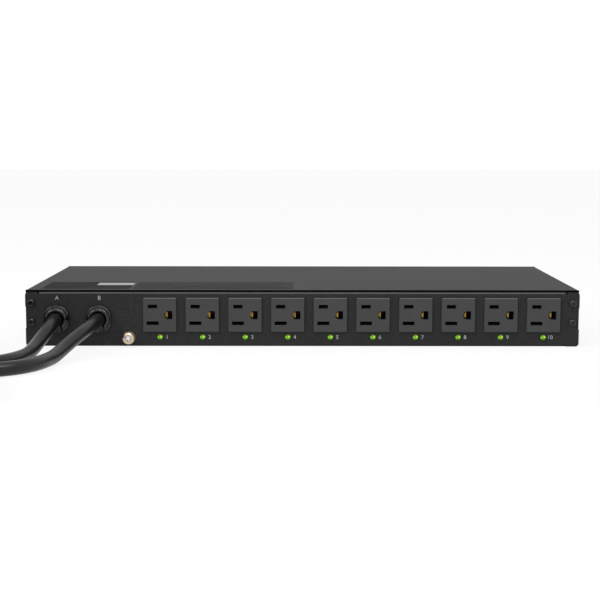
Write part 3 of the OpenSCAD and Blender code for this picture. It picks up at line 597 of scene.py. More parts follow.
@dataclass(frozen=True)
class SolderMask:
    """Circuit board: green mask over copper tracks that show as paler lines."""

    name: str = "solder_mask"
    colour: Colour = (0.015, 0.13, 0.05)
    track: Colour = (0.03, 0.24, 0.09)
    tracks: float = 90

    def build(self) -> bpy.types.Material:
        """The board's material.

        Returns:
            The new material.
        """
        graph = Graph(self.name)
        lanes = graph.add("TexWave", {"wave_type": "BANDS", "bands_direction": "DIAGONAL"},
                          Vector=graph.place((1, 1.7, 1)), Scale=self.tracks, Distortion=6,
                          Detail=1).outputs["Fac"]
        dust = graph.noise(graph.place(), 500, 3)
        return graph.principled(
            Base_Color=graph.blend(graph.ramp(lanes, 0.7, 0.8, 0, 1), self.colour, self.track),
            Roughness=graph.spread(dust, 0.22, 0.4), Normal=graph.bump(lanes, 0.05 * MM, 0.4))


@dataclass(frozen=True)
class SmokedWindow:
    """Dark polished window over an unlit display."""

    name: str = "smoked_window"
    colour: Colour = (0.01, 0.012, 0.014)
    cell: Colour = (0.03, 0.045, 0.03)
    cells: float = 260

    def build(self) -> bpy.types.Material:
        """The window's material, with the faint grid of the display's cells under it.

        Returns:
            The new material.
        """
        graph = Graph(self.name)
        grid = graph.add("TexBrick", {"offset": 0.0}, Vector=graph.place(), Scale=self.cells,
                         Mortar_Size=0.03).outputs["Fac"]
        smear = graph.noise(graph.place(), 40, 3)
        return graph.principled(
            Base_Color=graph.blend(grid, self.cell, self.colour), Roughness=graph.spread(smear, 0.05, 0.14),
            Coat_Weight=1.0, Coat_Roughness=0.04)


@dataclass(frozen=True)
class PrintInk:
    """Screen-printed pale ink, a little uneven."""

    name: str = "print_ink"
    colour: Colour = (0.62, 0.62, 0.61)

    def build(self) -> bpy.types.Material:
        """The ink's material.

        Returns:
            The new material.
        """
        graph = Graph(self.name)
        patch = graph.noise(graph.place(), 1900, 3)
        return graph.principled(Base_Color=graph.shades(patch, self.colour, (0.72, 1), low=0.35),
                                Roughness=graph.spread(patch, 0.45, 0.65))


ZINC = Plated("bright_zinc", (0.74, 0.75, 0.77), 0.26)
CASE = Moulded("component_case", (0.02, 0.02, 0.022))


# ---------------------------------------------------------------- mesh tools


def clear_selection() -> None:
    """Leaves nothing selected and no object active."""
    for thing in bpy.context.selected_objects:
        thing.select_set(False)
    bpy.context.view_layer.objects.active = None


def give(thing: bpy.types.Object, finish: Finish) -> None:
    """Puts one finish in all of an object's material slots.

    Args:
        thing: the object.
        finish: what it gets.
    """
    material = material_of(finish)
    if not thing.material_slots:
        thing.data.materials.append(material)
    for place in thing.material_slots:
        place.material = material


def dress(nodes: Iterable[str], finish: Finish) -> None:
    """Gives CAD nodes a finish."""
    for name in nodes:
        give(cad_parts[name], finish)


def eased(share: float) -> float:
    """A share between nought and one, eased at both ends."""
    share = min(1.0, max(0.0, share))
    return share * share * (3 - 2 * share)


def smooth_line(points: Sequence[Vector], steps: int) -> list[Vector]:
    """A Catmull-Rom curve through points.

    Args:
        points: what it passes through.
        steps: pieces between each two.

    Returns:
        The curve's points, ends included.
    """
    ends = [points[0] * 2 - points[1], *points, points[-1] * 2 - points[-2]]
    line = []
    for a, b, c, d in zip(ends, ends[1:], ends[2:], ends[3:]):
        for k in range(steps):
            t = k / steps
            line.append(0.5 * (2 * b + (c - a) * t + (2 * a - 5 * b + 4 * c - d) * t * t
                               + (3 * b - a - 3 * c + d) * t ** 3))
    return [*line, points[-1].copy()]


def length_of(line: Sequence[Vector]) -> float:
    """Length of a line of points."""
    return sum((b - a).length for a, b in zip(line, line[1:]))


def tube(name: str, line: Sequence[Vector], radius: float, sides: int) -> bpy.types.Object:
    """A closed tube along a line, with a UV map that runs along it.

    Args:
        name: the object's name.
        line: the middle line's points.
        radius: the tube's radius.
        sides: points round it.

    Returns:
        The new object.
    """
    mesh = bmesh.new()
    uv = mesh.loops.layers.uv.new("run")
    rings = []
    gone = [0.0]
    for a, b in zip(line, line[1:]):
        gone.append(gone[-1] + (b - a).length)
    for index, point in enumerate(line):
        ahead = (line[min(index + 1, len(line) - 1)] - line[max(index - 1, 0)]).normalized()
        across = ahead.cross(Vector((0, 0, 1))).normalized()
        up = across.cross(ahead)
        rings.append([
            mesh.verts.new(point + radius * (math.cos(a) * across + math.sin(a) * up))
            for a in (2 * math.pi * k / sides for k in range(sides))])
    for index, (first, second) in enumerate(zip(rings, rings[1:])):
        for k in range(sides):
            j = (k + 1) % sides
            face = mesh.faces.new((first[k], first[j], second[j], second[k]))
            face.smooth = True
            spots = ((k, index), (k + 1, index), (k + 1, index + 1), (k, index + 1))
            for loop, (turn, row) in zip(face.loops, spots):
                loop[uv].uv = (turn / sides, gone[row])
    mesh.faces.new(rings[0][::-1])
    mesh.faces.new(rings[-1])
    bmesh.ops.recalc_face_normals(mesh, faces=mesh.faces)
    data = bpy.data.meshes.new(name)
    mesh.to_mesh(data)
    mesh.free()
    thing = bpy.data.objects.new(name, data)
    bpy.context.scene.collection.objects.link(thing)
    return thing


class Part(Enum):
    """What an edit-mode step works on."""

    FACE = "FACE"
    EDGE = "EDGE"
    POINT = "VERT"


class Shape:
    """An object being modelled, one of Blender's own steps at a time."""

    def __init__(self, name: str, add: Callable[..., object] | None = None, **sizes: object) -> None:
        """Adds a primitive at its size and place, and puts that place in its mesh.

        Args:
            name: the piece's name.
            add: the operator that adds it.
            sizes: the operator's sizes.
        """
        clear_selection()
        if add is None:
            return
        add(**sizes)
        self.thing = bpy.context.object
        self.settle(name)

    @classmethod
    def around(cls, thing: bpy.types.Object) -> "Shape":
        """A shape round an object that is there already.

        Args:
            thing: the object.

        Returns:
            The shape.
        """
        shape = cls("")
        shape.thing = thing
        return shape

    @classmethod
    def of_node(cls, node: str, name: str) -> "Shape":
        """A copy of a CAD node's mesh, merged into closed faces.

        Args:
            node: the node.
            name: the new piece's name.

        Returns:
            The copy.
        """
        shape = cls.around(bpy.data.objects.new(name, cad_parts[node].data.copy()))
        bpy.context.scene.collection.objects.link(shape.thing)
        shape.thing.data.materials.clear()
        shape.pick(Part.POINT, lambda point: True)
        bpy.ops.mesh.remove_doubles(threshold=0.000002)
        bpy.ops.mesh.dissolve_limited(angle_limit=math.radians(0.6))
        shape.done()
        return shape

    def settle(self, name: str) -> "Shape":
        """Names it and puts its place in its mesh.

        Args:
            name: the piece's name.

        Returns:
            This shape.
        """
        self.thing.name = name
        self.ready()
        bpy.ops.object.transform_apply(location=True, rotation=True, scale=True)
        return self

    def ready(self) -> None:
        """Makes this object the only selected one, and the active one."""
        clear_selection()
        self.thing.select_set(True)
        bpy.context.view_layer.objects.active = self.thing

    def pick(self, part: Part, test: Callable[[object], bool]) -> int:
        """Goes into edit mode with just the parts that pass a test selected.

        Args:
            part: faces, edges or points.
            test: says whether one is wanted.

        Returns:
            How many are selected.
        """
        self.ready()
        bpy.ops.object.mode_set(mode="EDIT")
        bpy.ops.mesh.select_mode(type=part.value)
        bpy.ops.mesh.select_all(action="DESELECT")
        mesh = bmesh.from_edit_mesh(self.thing.data)
        found = 0
        for item in {Part.FACE: mesh.faces, Part.EDGE: mesh.edges, Part.POINT: mesh.verts}[part]:
            if test(item):
                item.select_set(True)
                found += 1
        bmesh.update_edit_mesh(self.thing.data)
        return found

    def done(self) -> None:
        """Leaves edit mode."""
        bpy.ops.object.mode_set(mode="OBJECT")

    def apply(self, kind: str, **settings: object) -> "Shape":
        """Adds a modifier and applies it.

        Args:
            kind: the modifier's type.
            settings: its settings.

        Returns:
            This shape.
        """
        self.ready()
        modifier = self.thing.modifiers.new(kind.lower(), kind)
        for key, value in settings.items():
            setattr(modifier, key, value)
        bpy.ops.object.modifier_apply(modifier=modifier.name)
        return self

    def cut(self, tool: "Shape") -> "Shape":
        """Cuts another shape out of this one, and removes it.

        Args:
            tool: the shape that is cut away.

        Returns:
            This shape.
        """
        self.apply("BOOLEAN", operation="DIFFERENCE", solver="EXACT", object=tool.thing)
        bpy.data.objects.remove(tool.thing)
        return self

    def smooth(self, degrees: float = 35) -> "Shape":
        """Shades it smooth, but for its sharper edges.

        Args:
            degrees: edges sharper than this stay sharp.

        Returns:
            This shape.
        """
        self.ready()
        bpy.ops.object.shade_smooth_by_angle(angle=math.radians(degrees))
        return self

    def soften(self, radius: float, segments: int = 2, degrees: float = 40) -> "Shape":
        """Rounds its sharp edges, and shades it smooth.

        Args:
            radius: the rounding's radius.
            segments: facets in each rounding.
            degrees: edges sharper than this are rounded.

        Returns:
            This shape.
        """
        self.apply("BEVEL", width=radius, segments=segments, limit_method="ANGLE",
                   angle_limit=math.radians(degrees), harden_normals=False, use_clamp_overlap=True,
                   miter_outer="MITER_ARC")
        return self.smooth()

    def clean(self) -> "Shape":
        """Closes hairline seams and removes faces without area, as boolean cuts leave them.

        Returns:
            This shape.
        """
        self.pick(Part.POINT, lambda point: True)
        bpy.ops.mesh.remove_doubles(threshold=0.000001)
        bpy.ops.mesh.dissolve_degenerate(threshold=0.000001)
        bpy.ops.mesh.quads_convert_to_tris()
        bpy.ops.mesh.normals_make_consistent(inside=False)
        self.done()
        self.thing.data.validate()
        return self

    def join(self, others: Sequence["Shape"]) -> "Shape":
        """Joins other shapes into this one.

        Args:
            others: the other shapes.

        Returns:
            This shape.
        """
        self.ready()
        for other in others:
            other.thing.select_set(True)
        bpy.ops.object.join()
        return self

    def copies(self, offsets: Sequence[Point]) -> list["Shape"]:
        """Copies of it, each with its own mesh, moved by each offset.

        Args:
            offsets: how far each copy is moved.

        Returns:
            The copies.
        """
        made = []
        for index, offset in enumerate(offsets):
            mesh = self.thing.data.copy()
            mesh.transform(Matrix.Translation(offset))
            other = bpy.data.objects.new(f"{self.thing.name}_{index + 1}", mesh)
            bpy.context.scene.collection.objects.link(other)
            made.append(Shape.around(other))
        return made

    def finish(self, look: Finish, slot: str, instead_of: Sequence[str] = ()) -> bpy.types.Object:
        """Dresses it and puts it on the chassis.

        Args:
            look: its finish.
            slot: the record's material slot that it takes after, which is not used.
            instead_of: CAD nodes that it stands for.

        Returns:
            The finished object.
        """
        give(self.thing, look)
        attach(self.thing, CHASSIS)
        if instead_of:
            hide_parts(*instead_of)
        return self.thing


# ---------------------------------------------------------------- studio


@dataclass(frozen=True)
class Lamp:
    """A soft rectangular lamp: where it stands, what it points at, its size and its watts."""

    name: str
    at: Point
    aim: Point
    size: Span
    power: float
    diffuse: bool = True

    def build(self) -> None:
        """Hangs the lamp, which only shines in reflections where it isn't diffuse."""
        data = bpy.data.lights.new(self.name, "AREA")
        data.shape = "RECTANGLE"
        data.size, data.size_y = self.size
        data.energy = self.power
        lamp = bpy.data.objects.new(self.name, data)
        lamp.location = self.at
        lamp.rotation_mode = "QUATERNION"
        lamp.rotation_quaternion = (Vector(self.aim) - Vector(self.at)).to_track_quat("-Z", "Y")
        lamp.visible_diffuse = self.diffuse
        bpy.context.scene.collection.objects.link(lamp)


@dataclass
class Studio:
    """Camera, lamps, floor and backdrop."""

    camera_at: Point = (-0.0038, -1.0821, 0.1555)
    pitch: float = 6.932
    yaw: float = 0.11
    roll: float = 0.074
    focal: float = 78.8
    sensor: float = 36
    around: float = 0.7
    white: float = 1
    floor_size: float = 12
    floor_grey: Colour = (0.86, 0.86, 0.86)
    floor_glow: float = 1.04
    glow_share: float = 0.82
    lamps: Sequence[Lamp] = (
        Lamp("over", (0.0, -0.45, 1.3), (0, -0.1, 0), (1.4, 0.35), 4),
        Lamp("strip", (0.2, -0.8, 0.85), (-0.1, -0.1, 0), (0.9, 0.08), 5, diffuse=False),
        Lamp("left", (-1.2, -0.7, 1.0), (0, -0.1, 0), (0.5, 0.5), 5))

    def camera(self) -> None:
        """Places the camera at the outlet side, a little above the cover."""
        data = bpy.data.cameras.new("camera")
        data.lens = self.focal
        data.sensor_width = self.sensor
        data.clip_start = 0.05
        data.clip_end = 50
        camera = bpy.data.objects.new("camera", data)
        camera.matrix_world = (
            Matrix.Translation(self.camera_at)
            @ Matrix.Rotation(-math.radians(self.yaw), 4, "Z")
            @ Matrix.Rotation(math.pi / 2 - math.radians(self.pitch), 4, "X")
            @ Matrix.Rotation(math.radians(self.roll), 4, "Z"))
        bpy.context.scene.collection.objects.link(camera)
        bpy.context.scene.camera = camera

    def world(self) -> None:
        """White behind the object, and a plain soft light all round it."""
        world = bpy.data.worlds.new("studio")
        world.use_nodes = True
        tree = world.node_tree
        tree.nodes.clear()
        output = tree.nodes.new("ShaderNodeOutputWorld")
        path = tree.nodes.new("ShaderNodeLightPath")
        direct, seen = (tree.nodes.new("ShaderNodeMath") for _ in range(2))
        direct.operation = seen.operation = "MAXIMUM"
        tree.links.new(path.outputs["Is Camera Ray"], direct.inputs[0])
        tree.links.new(path.outputs["Is Glossy Ray"], direct.inputs[1])
        tree.links.new(direct.outputs[0], seen.inputs[0])
        tree.links.new(path.outputs["Is Transmission Ray"], seen.inputs[1])
        plain, white = (tree.nodes.new("ShaderNodeBackground") for _ in range(2))
        plain.inputs["Color"].default_value = (1, 1, 1, 1)
        plain.inputs["Strength"].default_value = self.around
        white.inputs["Color"].default_value = (1, 1, 1, 1)
        white.inputs["Strength"].default_value = self.white
        mix = tree.nodes.new("ShaderNodeMixShader")
        tree.links.new(seen.outputs[0], mix.inputs[0])
        tree.links.new(plain.outputs[0], mix.inputs[1])
        tree.links.new(white.outputs[0], mix.inputs[2])
        tree.links.new(mix.outputs[0], output.inputs["Surface"])
        bpy.context.scene.world = world

    def floor(self) -> None:
        """A wide pale floor that keeps a soft shadow."""
        clear_selection()
        bpy.ops.mesh.primitive_plane_add(size=self.floor_size, location=(0, 0, 0))
        floor = bpy.context.object
        floor.name = "floor"
        graph = Graph("pale_floor")
        matt = graph.add("BsdfDiffuse", Color=(*self.floor_grey, 1))
        glow = graph.add("Emission", Color=(1, 1, 1, 1), Strength=self.floor_glow)
        path = graph.add("LightPath").outputs
        seen = graph.math("MAXIMUM", graph.math("MAXIMUM", path["Is Camera Ray"], path["Is Glossy Ray"]),
                          path["Is Transmission Ray"])
        share = graph.math("MULTIPLY", seen, self.glow_share)
        mix = graph.add("MixShader")
        graph.feed(mix, 0, share)
        graph.feed(mix, 1, matt.outputs[0])
        graph.feed(mix, 2, glow.outputs[0])
        floor.data.materials.append(graph.finish(mix))

    def build(self) -> None:
        """Sets up everything but the object."""
        self.camera()
        self.world()
        self.floor()
        for lamp in self.lamps:
            lamp.build()
        bpy.context.scene.view_settings.view_transform = "Standard"
        LOG.info("studio ready")


# ---------------------------------------------------------------- cords


class Winding(Enum):
    """Which way a coil is wound, seen from above, as the sign of its y."""

    CLOCKWISE = 1
    COUNTER = -1


@dataclass
class InputCord:
    """One input cord: the lead from its bushing, its coil and the stretch to its plug.

    Its lead, coil, tail and winding are in millimetres, and its tail is measured from the coil.
    """

    letter: str
    lead: Sequence[Point]
    coil_at: Span
    winding: Winding
    diameter: float = 10 * MM
    length: float = 3.05
    tail: Sequence[Point] = (
        (60, -35, 20.5), (35, -60, 24.6), (2, -69, 25.3), (-27, -60, 26), (-45, -44, 28),
        (-54, -29, 30.6), (-55, -23, 31.2), (-55, -18, 31.2))
    columns: Sequence[float] = (70, 60.1, 50.4, 41)
    layers: Sequence[float] = (5.1, 15.1)
    turns: float = 7.83
    steps_a_turn: int = 30
    curve_steps: int = 4
    sides: int = 24
    jacket: Jacket = Jacket()
    vinyl: Moulded = Moulded("plug_vinyl", (0.016, 0.016, 0.017), 0.42, grain=1200, depth=0.08 * MM)
    nickel: Plated = Plated("nickel_blade", (0.78, 0.75, 0.68), 0.2)

    def radius_at(self, turn: float) -> float:
        """Radius of the winding after some turns: each turn steps to its neighbour at its end.

        Args:
            turn: turns from the start.

        Returns:
            The radius, in millimetres.
        """
        order = [*self.columns, *reversed(self.columns)]
        whole = min(int(turn), len(order) - 1)
        after = order[min(whole + 1, len(order) - 1)]
        return order[whole] + (after - order[whole]) * eased((turn - whole - 0.5) * 2)

    def height_at(self, turn: float) -> float:
        """Height of the winding after some turns: it steps up to its second layer half way."""
        low, high = self.layers
        return low + (high - low) * eased((turn - len(self.columns) + 0.5) * 2)

    def coil_line(self) -> list[Vector]:
        """The coil's points, from where the lead joins it.

        Returns:
            The points, in millimetres.
        """
        line = []
        count = round(self.turns * self.steps_a_turn)
        for k in range(count):
            turn = k / self.steps_a_turn
            angle = math.radians(-90 - 360 * turn)
            radius = self.radius_at(turn)
            line.append(Vector((
                self.coil_at[0] + radius * math.cos(angle),
                self.coil_at[1] + self.winding.value * radius * math.sin(angle),
                self.height_at(turn))))
        return line

    def line(self) -> list[Vector]:
        """The whole cord's middle line, in metres.

        Returns:
            The line's points.
        """
        lead = [Vector(p) for p in self.lead]
        tail = [Vector((self.coil_at[0] + x, self.coil_at[1] + self.winding.value * y, z))
                for x, y, z in self.tail]
        coil = self.coil_line()
        start = smooth_line([*lead, coil[0]], self.curve_steps)[:-1]
        end = smooth_line([coil[-1], *tail], self.curve_steps)[1:]
        return [p * MM for p in (*start, *coil, *end)]

    def build(self) -> None:
        plug, pins = f"plug_{self.letter}", f"plug_pins_{self.letter}"
        dress((plug,), self.vinyl)
        dress((pins,), self.nickel)
        line = self.line()
        cord = tube(f"input_cord_{self.letter}", line, self.diameter / 2, self.sides)
        give(cord, self.jacket)
        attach(cord, CHASSIS)
        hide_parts(f"cord_{self.letter}", f"coil_{self.letter}")
        CoilTie(self.letter, self.coil_at).build()
        LOG.info("cord %s: %.3f m", self.letter, length_of(line))


LEAD_A: Sequence[Point] = (
    (-186.2, -88, 21.1), (-186.2, -103, 21.1), (-186.5, -115, 19.5), (-187.9, -126, 16.3),
    (-190.2, -136, 12.2), (-192.2, -146, 8.6), (-193.8, -157, 6.1), (-195.2, -168, 5.2),
    (-199.5, -184.5, 5.1), (-208, -198.8, 5.1), (-221, -208.4, 5.1), (-236.5, -211.5, 5.1),
    (-262, -211.5, 5.1), (-288, -211.5, 5.1))
LEAD_B: Sequence[Point] = (
    (-154.2, -88, 21.1), (-154.2, -103, 21.1), (-155.1, -114, 20.4), (-157.3, -126, 18.8),
    (-160.3, -137, 16.6), (-164, -147, 13.8), (-167.6, -157, 10.8), (-170.7, -167, 8),
    (-173.2, -177, 6), (-175.8, -187, 5.2), (-180.4, -203, 5.1), (-189.4, -217.5, 5.1),
    (-203, -227.4, 5.1), (-219, -231, 5.1), (-252, -231, 5.1))


# ---------------------------------------------------------------- sub-assemblies


@dataclass
class OutletRow:
    """Ten receptacles with their contacts, indicators and printed numbers."""

    number_from_lens: float = 5.3 * MM
    number_z: float = 7.0 * MM
    number_size: float = 4.2 * MM
    ground_from_middle: float = 6.5 * MM
    ground_z: float = 24 * MM
    tip_y: float = -94.4 * MM
    tip_radius: float = 2.6 * MM
    tip_middle: float = 0.6 * MM
    tip_edge: float = -0.6 * MM
    tip_thickness: float = 0.3 * MM
    # its rims get painted highlights and painted shade
    plastic: Moulded = Moulded("outlet_plastic", (0.0445, 0.0445, 0.0455), 0.5, gloss=0.38, rims=0.5)
    # the contacts' brass gets painted shade behind these depths, deeper for the blade contacts
    brass: Plated = Plated("contact_brass", (0.72, 0.44, 0.12), 0.4, dark_behind=(-92.1 * MM, -91.3 * MM))
    deep: Plated = Plated("deep_brass", (0.72, 0.44, 0.12), 0.4, dark_behind=(-93 * MM, -92 * MM))
    # a darker copy of the contact brass: painted shade on the tips inside the ground holes
    shaded_tip_brass: Plated = Plated("shaded_tip_brass", (0.4, 0.24, 0.06), 0.45)
    lens: LitLens = LitLens()
    ink: PrintInk = PrintInk()

    def build(self) -> None:
        """Makes and dresses the row."""
        dress([f"outlet_{number:02d}" for number in range(1, OUTLET_COUNT + 1)], self.plastic)
        dress(("hot_contacts", "neutral_contacts"), self.deep)
        dress(("ground_contacts", "hot_busbar", "neutral_busbar", "ground_busbar"), self.brass)
        Shape.of_node("indicator_lenses", "indicator_lens_row").smooth(35).finish(
            self.lens, "green_lens", instead_of=("indicator_lenses",))
        self.numbers().finish(self.ink, "label_film")
        self.ground_tips().finish(self.shaded_tip_brass, "contact_brass")
        LOG.info("outlet row: %d receptacles", OUTLET_COUNT)

    def ground_tips(self) -> Shape:
        """The sprung tips of the ground contacts, at the left inside each D-shaped hole.

        Returns:
            The ten tips.
        """
        x = FIRST_OUTLET + self.ground_from_middle
        tip = Shape("ground_tips", bpy.ops.mesh.primitive_cylinder_add, vertices=64, radius=self.tip_radius,
                    depth=self.tip_thickness, location=(x + self.tip_middle, self.tip_y, self.ground_z),
                    rotation=(math.pi / 2, 0, 0))
        tip.pick(Part.FACE, lambda face: True)
        bpy.ops.mesh.bisect(plane_co=(x + self.tip_edge, 0, 0), plane_no=(1, 0, 0), use_fill=True,
                            clear_outer=True)
        tip.done()
        tip.soften(self.tip_thickness / 5, 2, 50)
        return tip.join(tip.copies([(k * OUTLET_PITCH, 0, 0) for k in range(1, OUTLET_COUNT)]))

    def numbers(self) -> Shape:
        """The printed numbers, as one thin piece.

        Returns:
            The ten numbers.
        """
        made = []
        for index in range(OUTLET_COUNT):
            x = FIRST_OUTLET + index * OUTLET_PITCH + self.number_from_lens
            made.append(printed(str(index + 1), (x, self.number_z), self.number_size))
        first = made[0].join(made[1:])
        first.thing.name = "outlet_numbers"
        return first


def printed(text: str, at: Span, size: float) -> Shape:
    """Text printed on the outlet panel.

    Args:
        text: what it says.
        at: its middle, across and up.
        size: the type's size.

    Returns:
        The text as a mesh.
    """
    clear_selection()
    bpy.ops.object.text_add(location=(at[0], PANEL - INK_FILM / 2, at[1]), rotation=(math.pi / 2, 0, 0))
    words = bpy.context.object.data
    words.body = text
    words.size = size
    words.align_x = "CENTER"
    words.align_y = "CENTER"
    words.extrude = INK_FILM / 2
    words.resolution_u = 6
    bpy.ops.object.convert(target="MESH")
    return Shape.around(bpy.context.object).settle(f"print_{text}")


@dataclass
class Bushing:
    """Moulded grip round an input cord: a flatted head with a dome, split below by its wedge.

    The letter of its input is printed above it. Shares are of the radius or depth they round.
    """

    letter: str
    x: float
    z: float = 21.1 * MM
    head_radius: float = 10.5 * MM
    head: float = 3.2 * MM
    half_flats: float = 9.3 * MM
    dome_radius: float = 8.8 * MM
    dome: float = 2.4 * MM
    bore: float = 5.05 * MM
    mouth: float = 5.95 * MM
    split: float = 4.6 * MM
    wedge: float = 1.7 * MM
    lobe: Span = (6.9 * MM, -6.2 * MM)
    lobe_radius: float = 2.3 * MM
    edge: float = 0.9 * MM
    rim_share: float = 0.9
    dome_share: float = 0.96
    split_top_share: float = 0.35
    rounding: float = 0.16 * MM
    sides: int = 96
    letter_shift: float = 0.3 * MM
    letter_z: float = 36.8 * MM
    letter_size: float = 4.4 * MM
    nylon: Moulded = Moulded("bushing_nylon", (0.004, 0.004, 0.0043), 0.15, grain=1400)
    ink: PrintInk = PrintInk("letter_ink")

    def disc(self, name: str, radius: float, start: float, depth: float) -> Shape:
        """A cylinder along y whose back is a distance in front of the panel.

        Args:
            name: the shape's name.
            radius: its radius.
            start: how far its back is in front of the panel.
            depth: its thickness.

        Returns:
            The cylinder.
        """
        return Shape(name, bpy.ops.mesh.primitive_cylinder_add, vertices=self.sides, radius=radius,
                     depth=depth, location=(self.x, PANEL - start - depth / 2, self.z),
                     rotation=(math.pi / 2, 0, 0))

    def box(self, name: str, low: Point, high: Point) -> Shape:
        """A block between two corners, seen from the bore's middle on the panel.

        Args:
            name: the shape's name.
            low: its lowest corner.
            high: its highest corner.

        Returns:
            The block.
        """
        middle = [(a + b) / 2 for a, b in zip(low, high)]
        size = [b - a for a, b in zip(low, high)]
        return Shape(name, bpy.ops.mesh.primitive_cube_add, size=1, scale=size,
                     location=(self.x + middle[0], PANEL + middle[1], self.z + middle[2]))

    def round_front(self, shape: Shape, front: float, radius: float, width: float, steps: int) -> None:
        """Rounds the rim of a disc's front face.

        Args:
            shape: the disc.
            front: y of its front face.
            radius: a little less than the rim's radius.
            width: width of the rounding.
            steps: facets in it.
        """
        shape.pick(Part.EDGE, lambda edge: all(
            abs(v.co.y - front) < 1e-6 and math.hypot(v.co.x - self.x, v.co.z - self.z) > radius
            for v in edge.verts))
        bpy.ops.mesh.bevel(offset=width, segments=steps, affect="EDGES")
        shape.done()

    def head_blank(self) -> Shape:
        """The flatted head and its dome, before the bore and the split.

        Returns:
            The head.
        """
        head = self.disc("grip_head", self.head_radius, 0, self.head)
        for side in (-1, 1):
            head.pick(Part.FACE, lambda face: True)
            bpy.ops.mesh.bisect(plane_co=(self.x + side * self.half_flats, 0, 0), plane_no=(side, 0, 0),
                                use_fill=True, clear_outer=True)
            head.done()
        self.round_front(head, PANEL - self.head, self.half_flats * self.rim_share, self.edge, 5)
        dome = self.disc("grip_dome", self.dome_radius, self.head / 2, self.head / 2 + self.dome)
        self.round_front(dome, PANEL - self.head - self.dome, self.dome_radius * self.rim_share,
                         self.dome * self.dome_share, 12)
        head.apply("BOOLEAN", operation="UNION", solver="EXACT", object=dome.thing)
        bpy.data.objects.remove(dome.thing)
        return head

    def split_grip(self) -> Shape:
        """The head with its bore, its split and the rounded ends beside the split.

        Returns:
            The cut head.
        """
        front = self.head + self.dome
        through = front + 3 * self.head
        reach = 2 * self.head_radius
        top = -self.bore * self.split_top_share
        grip = self.head_blank()
        grip.cut(self.disc("bore", self.bore, -self.head, through))
        grip.cut(self.disc("mouth", self.mouth, front - self.edge, self.head))
        grip.cut(self.box("split", (-self.split, -reach, -reach), (self.split, -self.wedge, top)))
        for side in (-1, 1):
            low, high = sorted((side * self.split * 1.001, side * reach))
            end = self.box("end", (low, -reach, -reach), (high, -self.wedge, self.lobe[1]))
            round_end = self.disc("lobe", self.lobe_radius, -self.head, through)
            round_end.thing.data.transform(Matrix.Translation((side * self.lobe[0], 0, self.lobe[1])))
            grip.cut(end.cut(round_end))
        return grip.soften(self.rounding, 2, 50)

    def build(self) -> None:
        """Makes the bushing, with the node's own tail inside the panel, and prints its letter."""
        grip = self.split_grip()
        tail = Shape.of_node(f"strain_relief_{self.letter}", f"grip_tail_{self.letter}")
        tail.pick(Part.FACE, lambda face: True)
        bpy.ops.mesh.bisect(plane_co=(0, PANEL, 0), plane_no=(0, -1, 0), use_fill=True,
                            clear_outer=True)
        tail.done()
        grip.join([tail.smooth()])
        grip.thing.name = f"cord_bushing_{self.letter}"
        grip.clean().smooth()
        grip.finish(self.nylon, "bushing_nylon", instead_of=(f"strain_relief_{self.letter}",))
        printed(self.letter.upper(), (self.x + self.letter_shift, self.letter_z),
                self.letter_size).finish(self.ink, "label_film")
        LOG.info("bushing %s", self.letter)


@dataclass
class CoilTie:
    """Soft strap closed round one side of a coil."""

    letter: str
    coil_at: Span
    inner: float = 33.6 * MM
    outer: float = 76.4 * MM
    foot: float = 0.05 * MM
    top: float = 21.4 * MM
    width: float = 12 * MM
    thickness: float = 0.9 * MM
    corner: float = 5 * MM
    rounding: float = 0.25 * MM
    cloth: Moulded = Moulded("tie_cloth", (0.02, 0.02, 0.021), 0.8, grain=3800, depth=0.2 * MM, gloss=0.2)

    def build(self) -> bpy.types.Object:
        """Makes the tie on the coil's right side.

        Returns:
            The finished tie.
        """
        x, y = (v * MM for v in self.coil_at)
        tie = Shape(f"coil_tie_{self.letter}", bpy.ops.mesh.primitive_cube_add, size=1,
                    scale=(self.outer - self.inner, self.width, self.top - self.foot),
                    location=(x + (self.outer + self.inner) / 2, y, (self.top + self.foot) / 2))
        tie.pick(Part.EDGE, lambda edge: abs(edge.verts[0].co.y - edge.verts[1].co.y) > self.width / 2)
        bpy.ops.mesh.bevel(offset=self.corner, segments=8, affect="EDGES")
        tie.done()
        tie.pick(Part.FACE, lambda face: abs(face.normal.y) > 0.9)
        bpy.ops.mesh.delete(type="ONLY_FACE")
        tie.done()
        tie.apply("SOLIDIFY", thickness=self.thickness, offset=-1)
        tie.soften(self.rounding, 2, 50)
        LOG.info("tie %s", self.letter)
        return tie.finish(self.cloth, "cord_jacket")


@dataclass
class JackContacts:
    """Eight gilt wires that slope down inside the network jack."""

    count: int = 8
    pitch: float = 1.02 * MM
    middle: float = 150 * MM
    front: float = 92.6 * MM
    back: float = 84 * MM
    roof: float = 16.9 * MM
    wire: float = 0.42 * MM
    hook: Span = (1.2, -1.4)
    drop: float = 2.6 * MM
    rounding: float = 0.08 * MM
    gilt: Plated = Plated("jack_gilt", (0.86, 0.62, 0.2), 0.2)

    def build(self) -> None:
        """Makes the wires, whose front ends hook down by shares of their thickness."""
        length = self.front - self.back
        first = self.middle - (self.count - 1) * self.pitch / 2
        wire = Shape("jack_wire", bpy.ops.mesh.primitive_cube_add, size=1,
                     scale=(self.wire, length, self.wire),
                     location=(first, (self.front + self.back) / 2, self.roof))
        wire.pick(Part.FACE, lambda face: face.normal.y > 0.9)
        bpy.ops.mesh.extrude_region_move(
            TRANSFORM_OT_translate={"value": (0, self.hook[0] * self.wire, self.hook[1] * self.wire)})
        wire.done()
        wire.pick(Part.POINT, lambda point: point.co.y < self.back + self.wire)
        bpy.ops.transform.translate(value=(0, 0, -self.drop))
        wire.done()
        wire.soften(self.rounding, 2, 30)
        wires = wire.join(wire.copies([(k * self.pitch, 0, 0) for k in range(1, self.count)]))
        wires.thing.name = "jack_wires"
        wires.finish(self.gilt, "contact_brass")
        LOG.info("jack wires: %d", self.count)


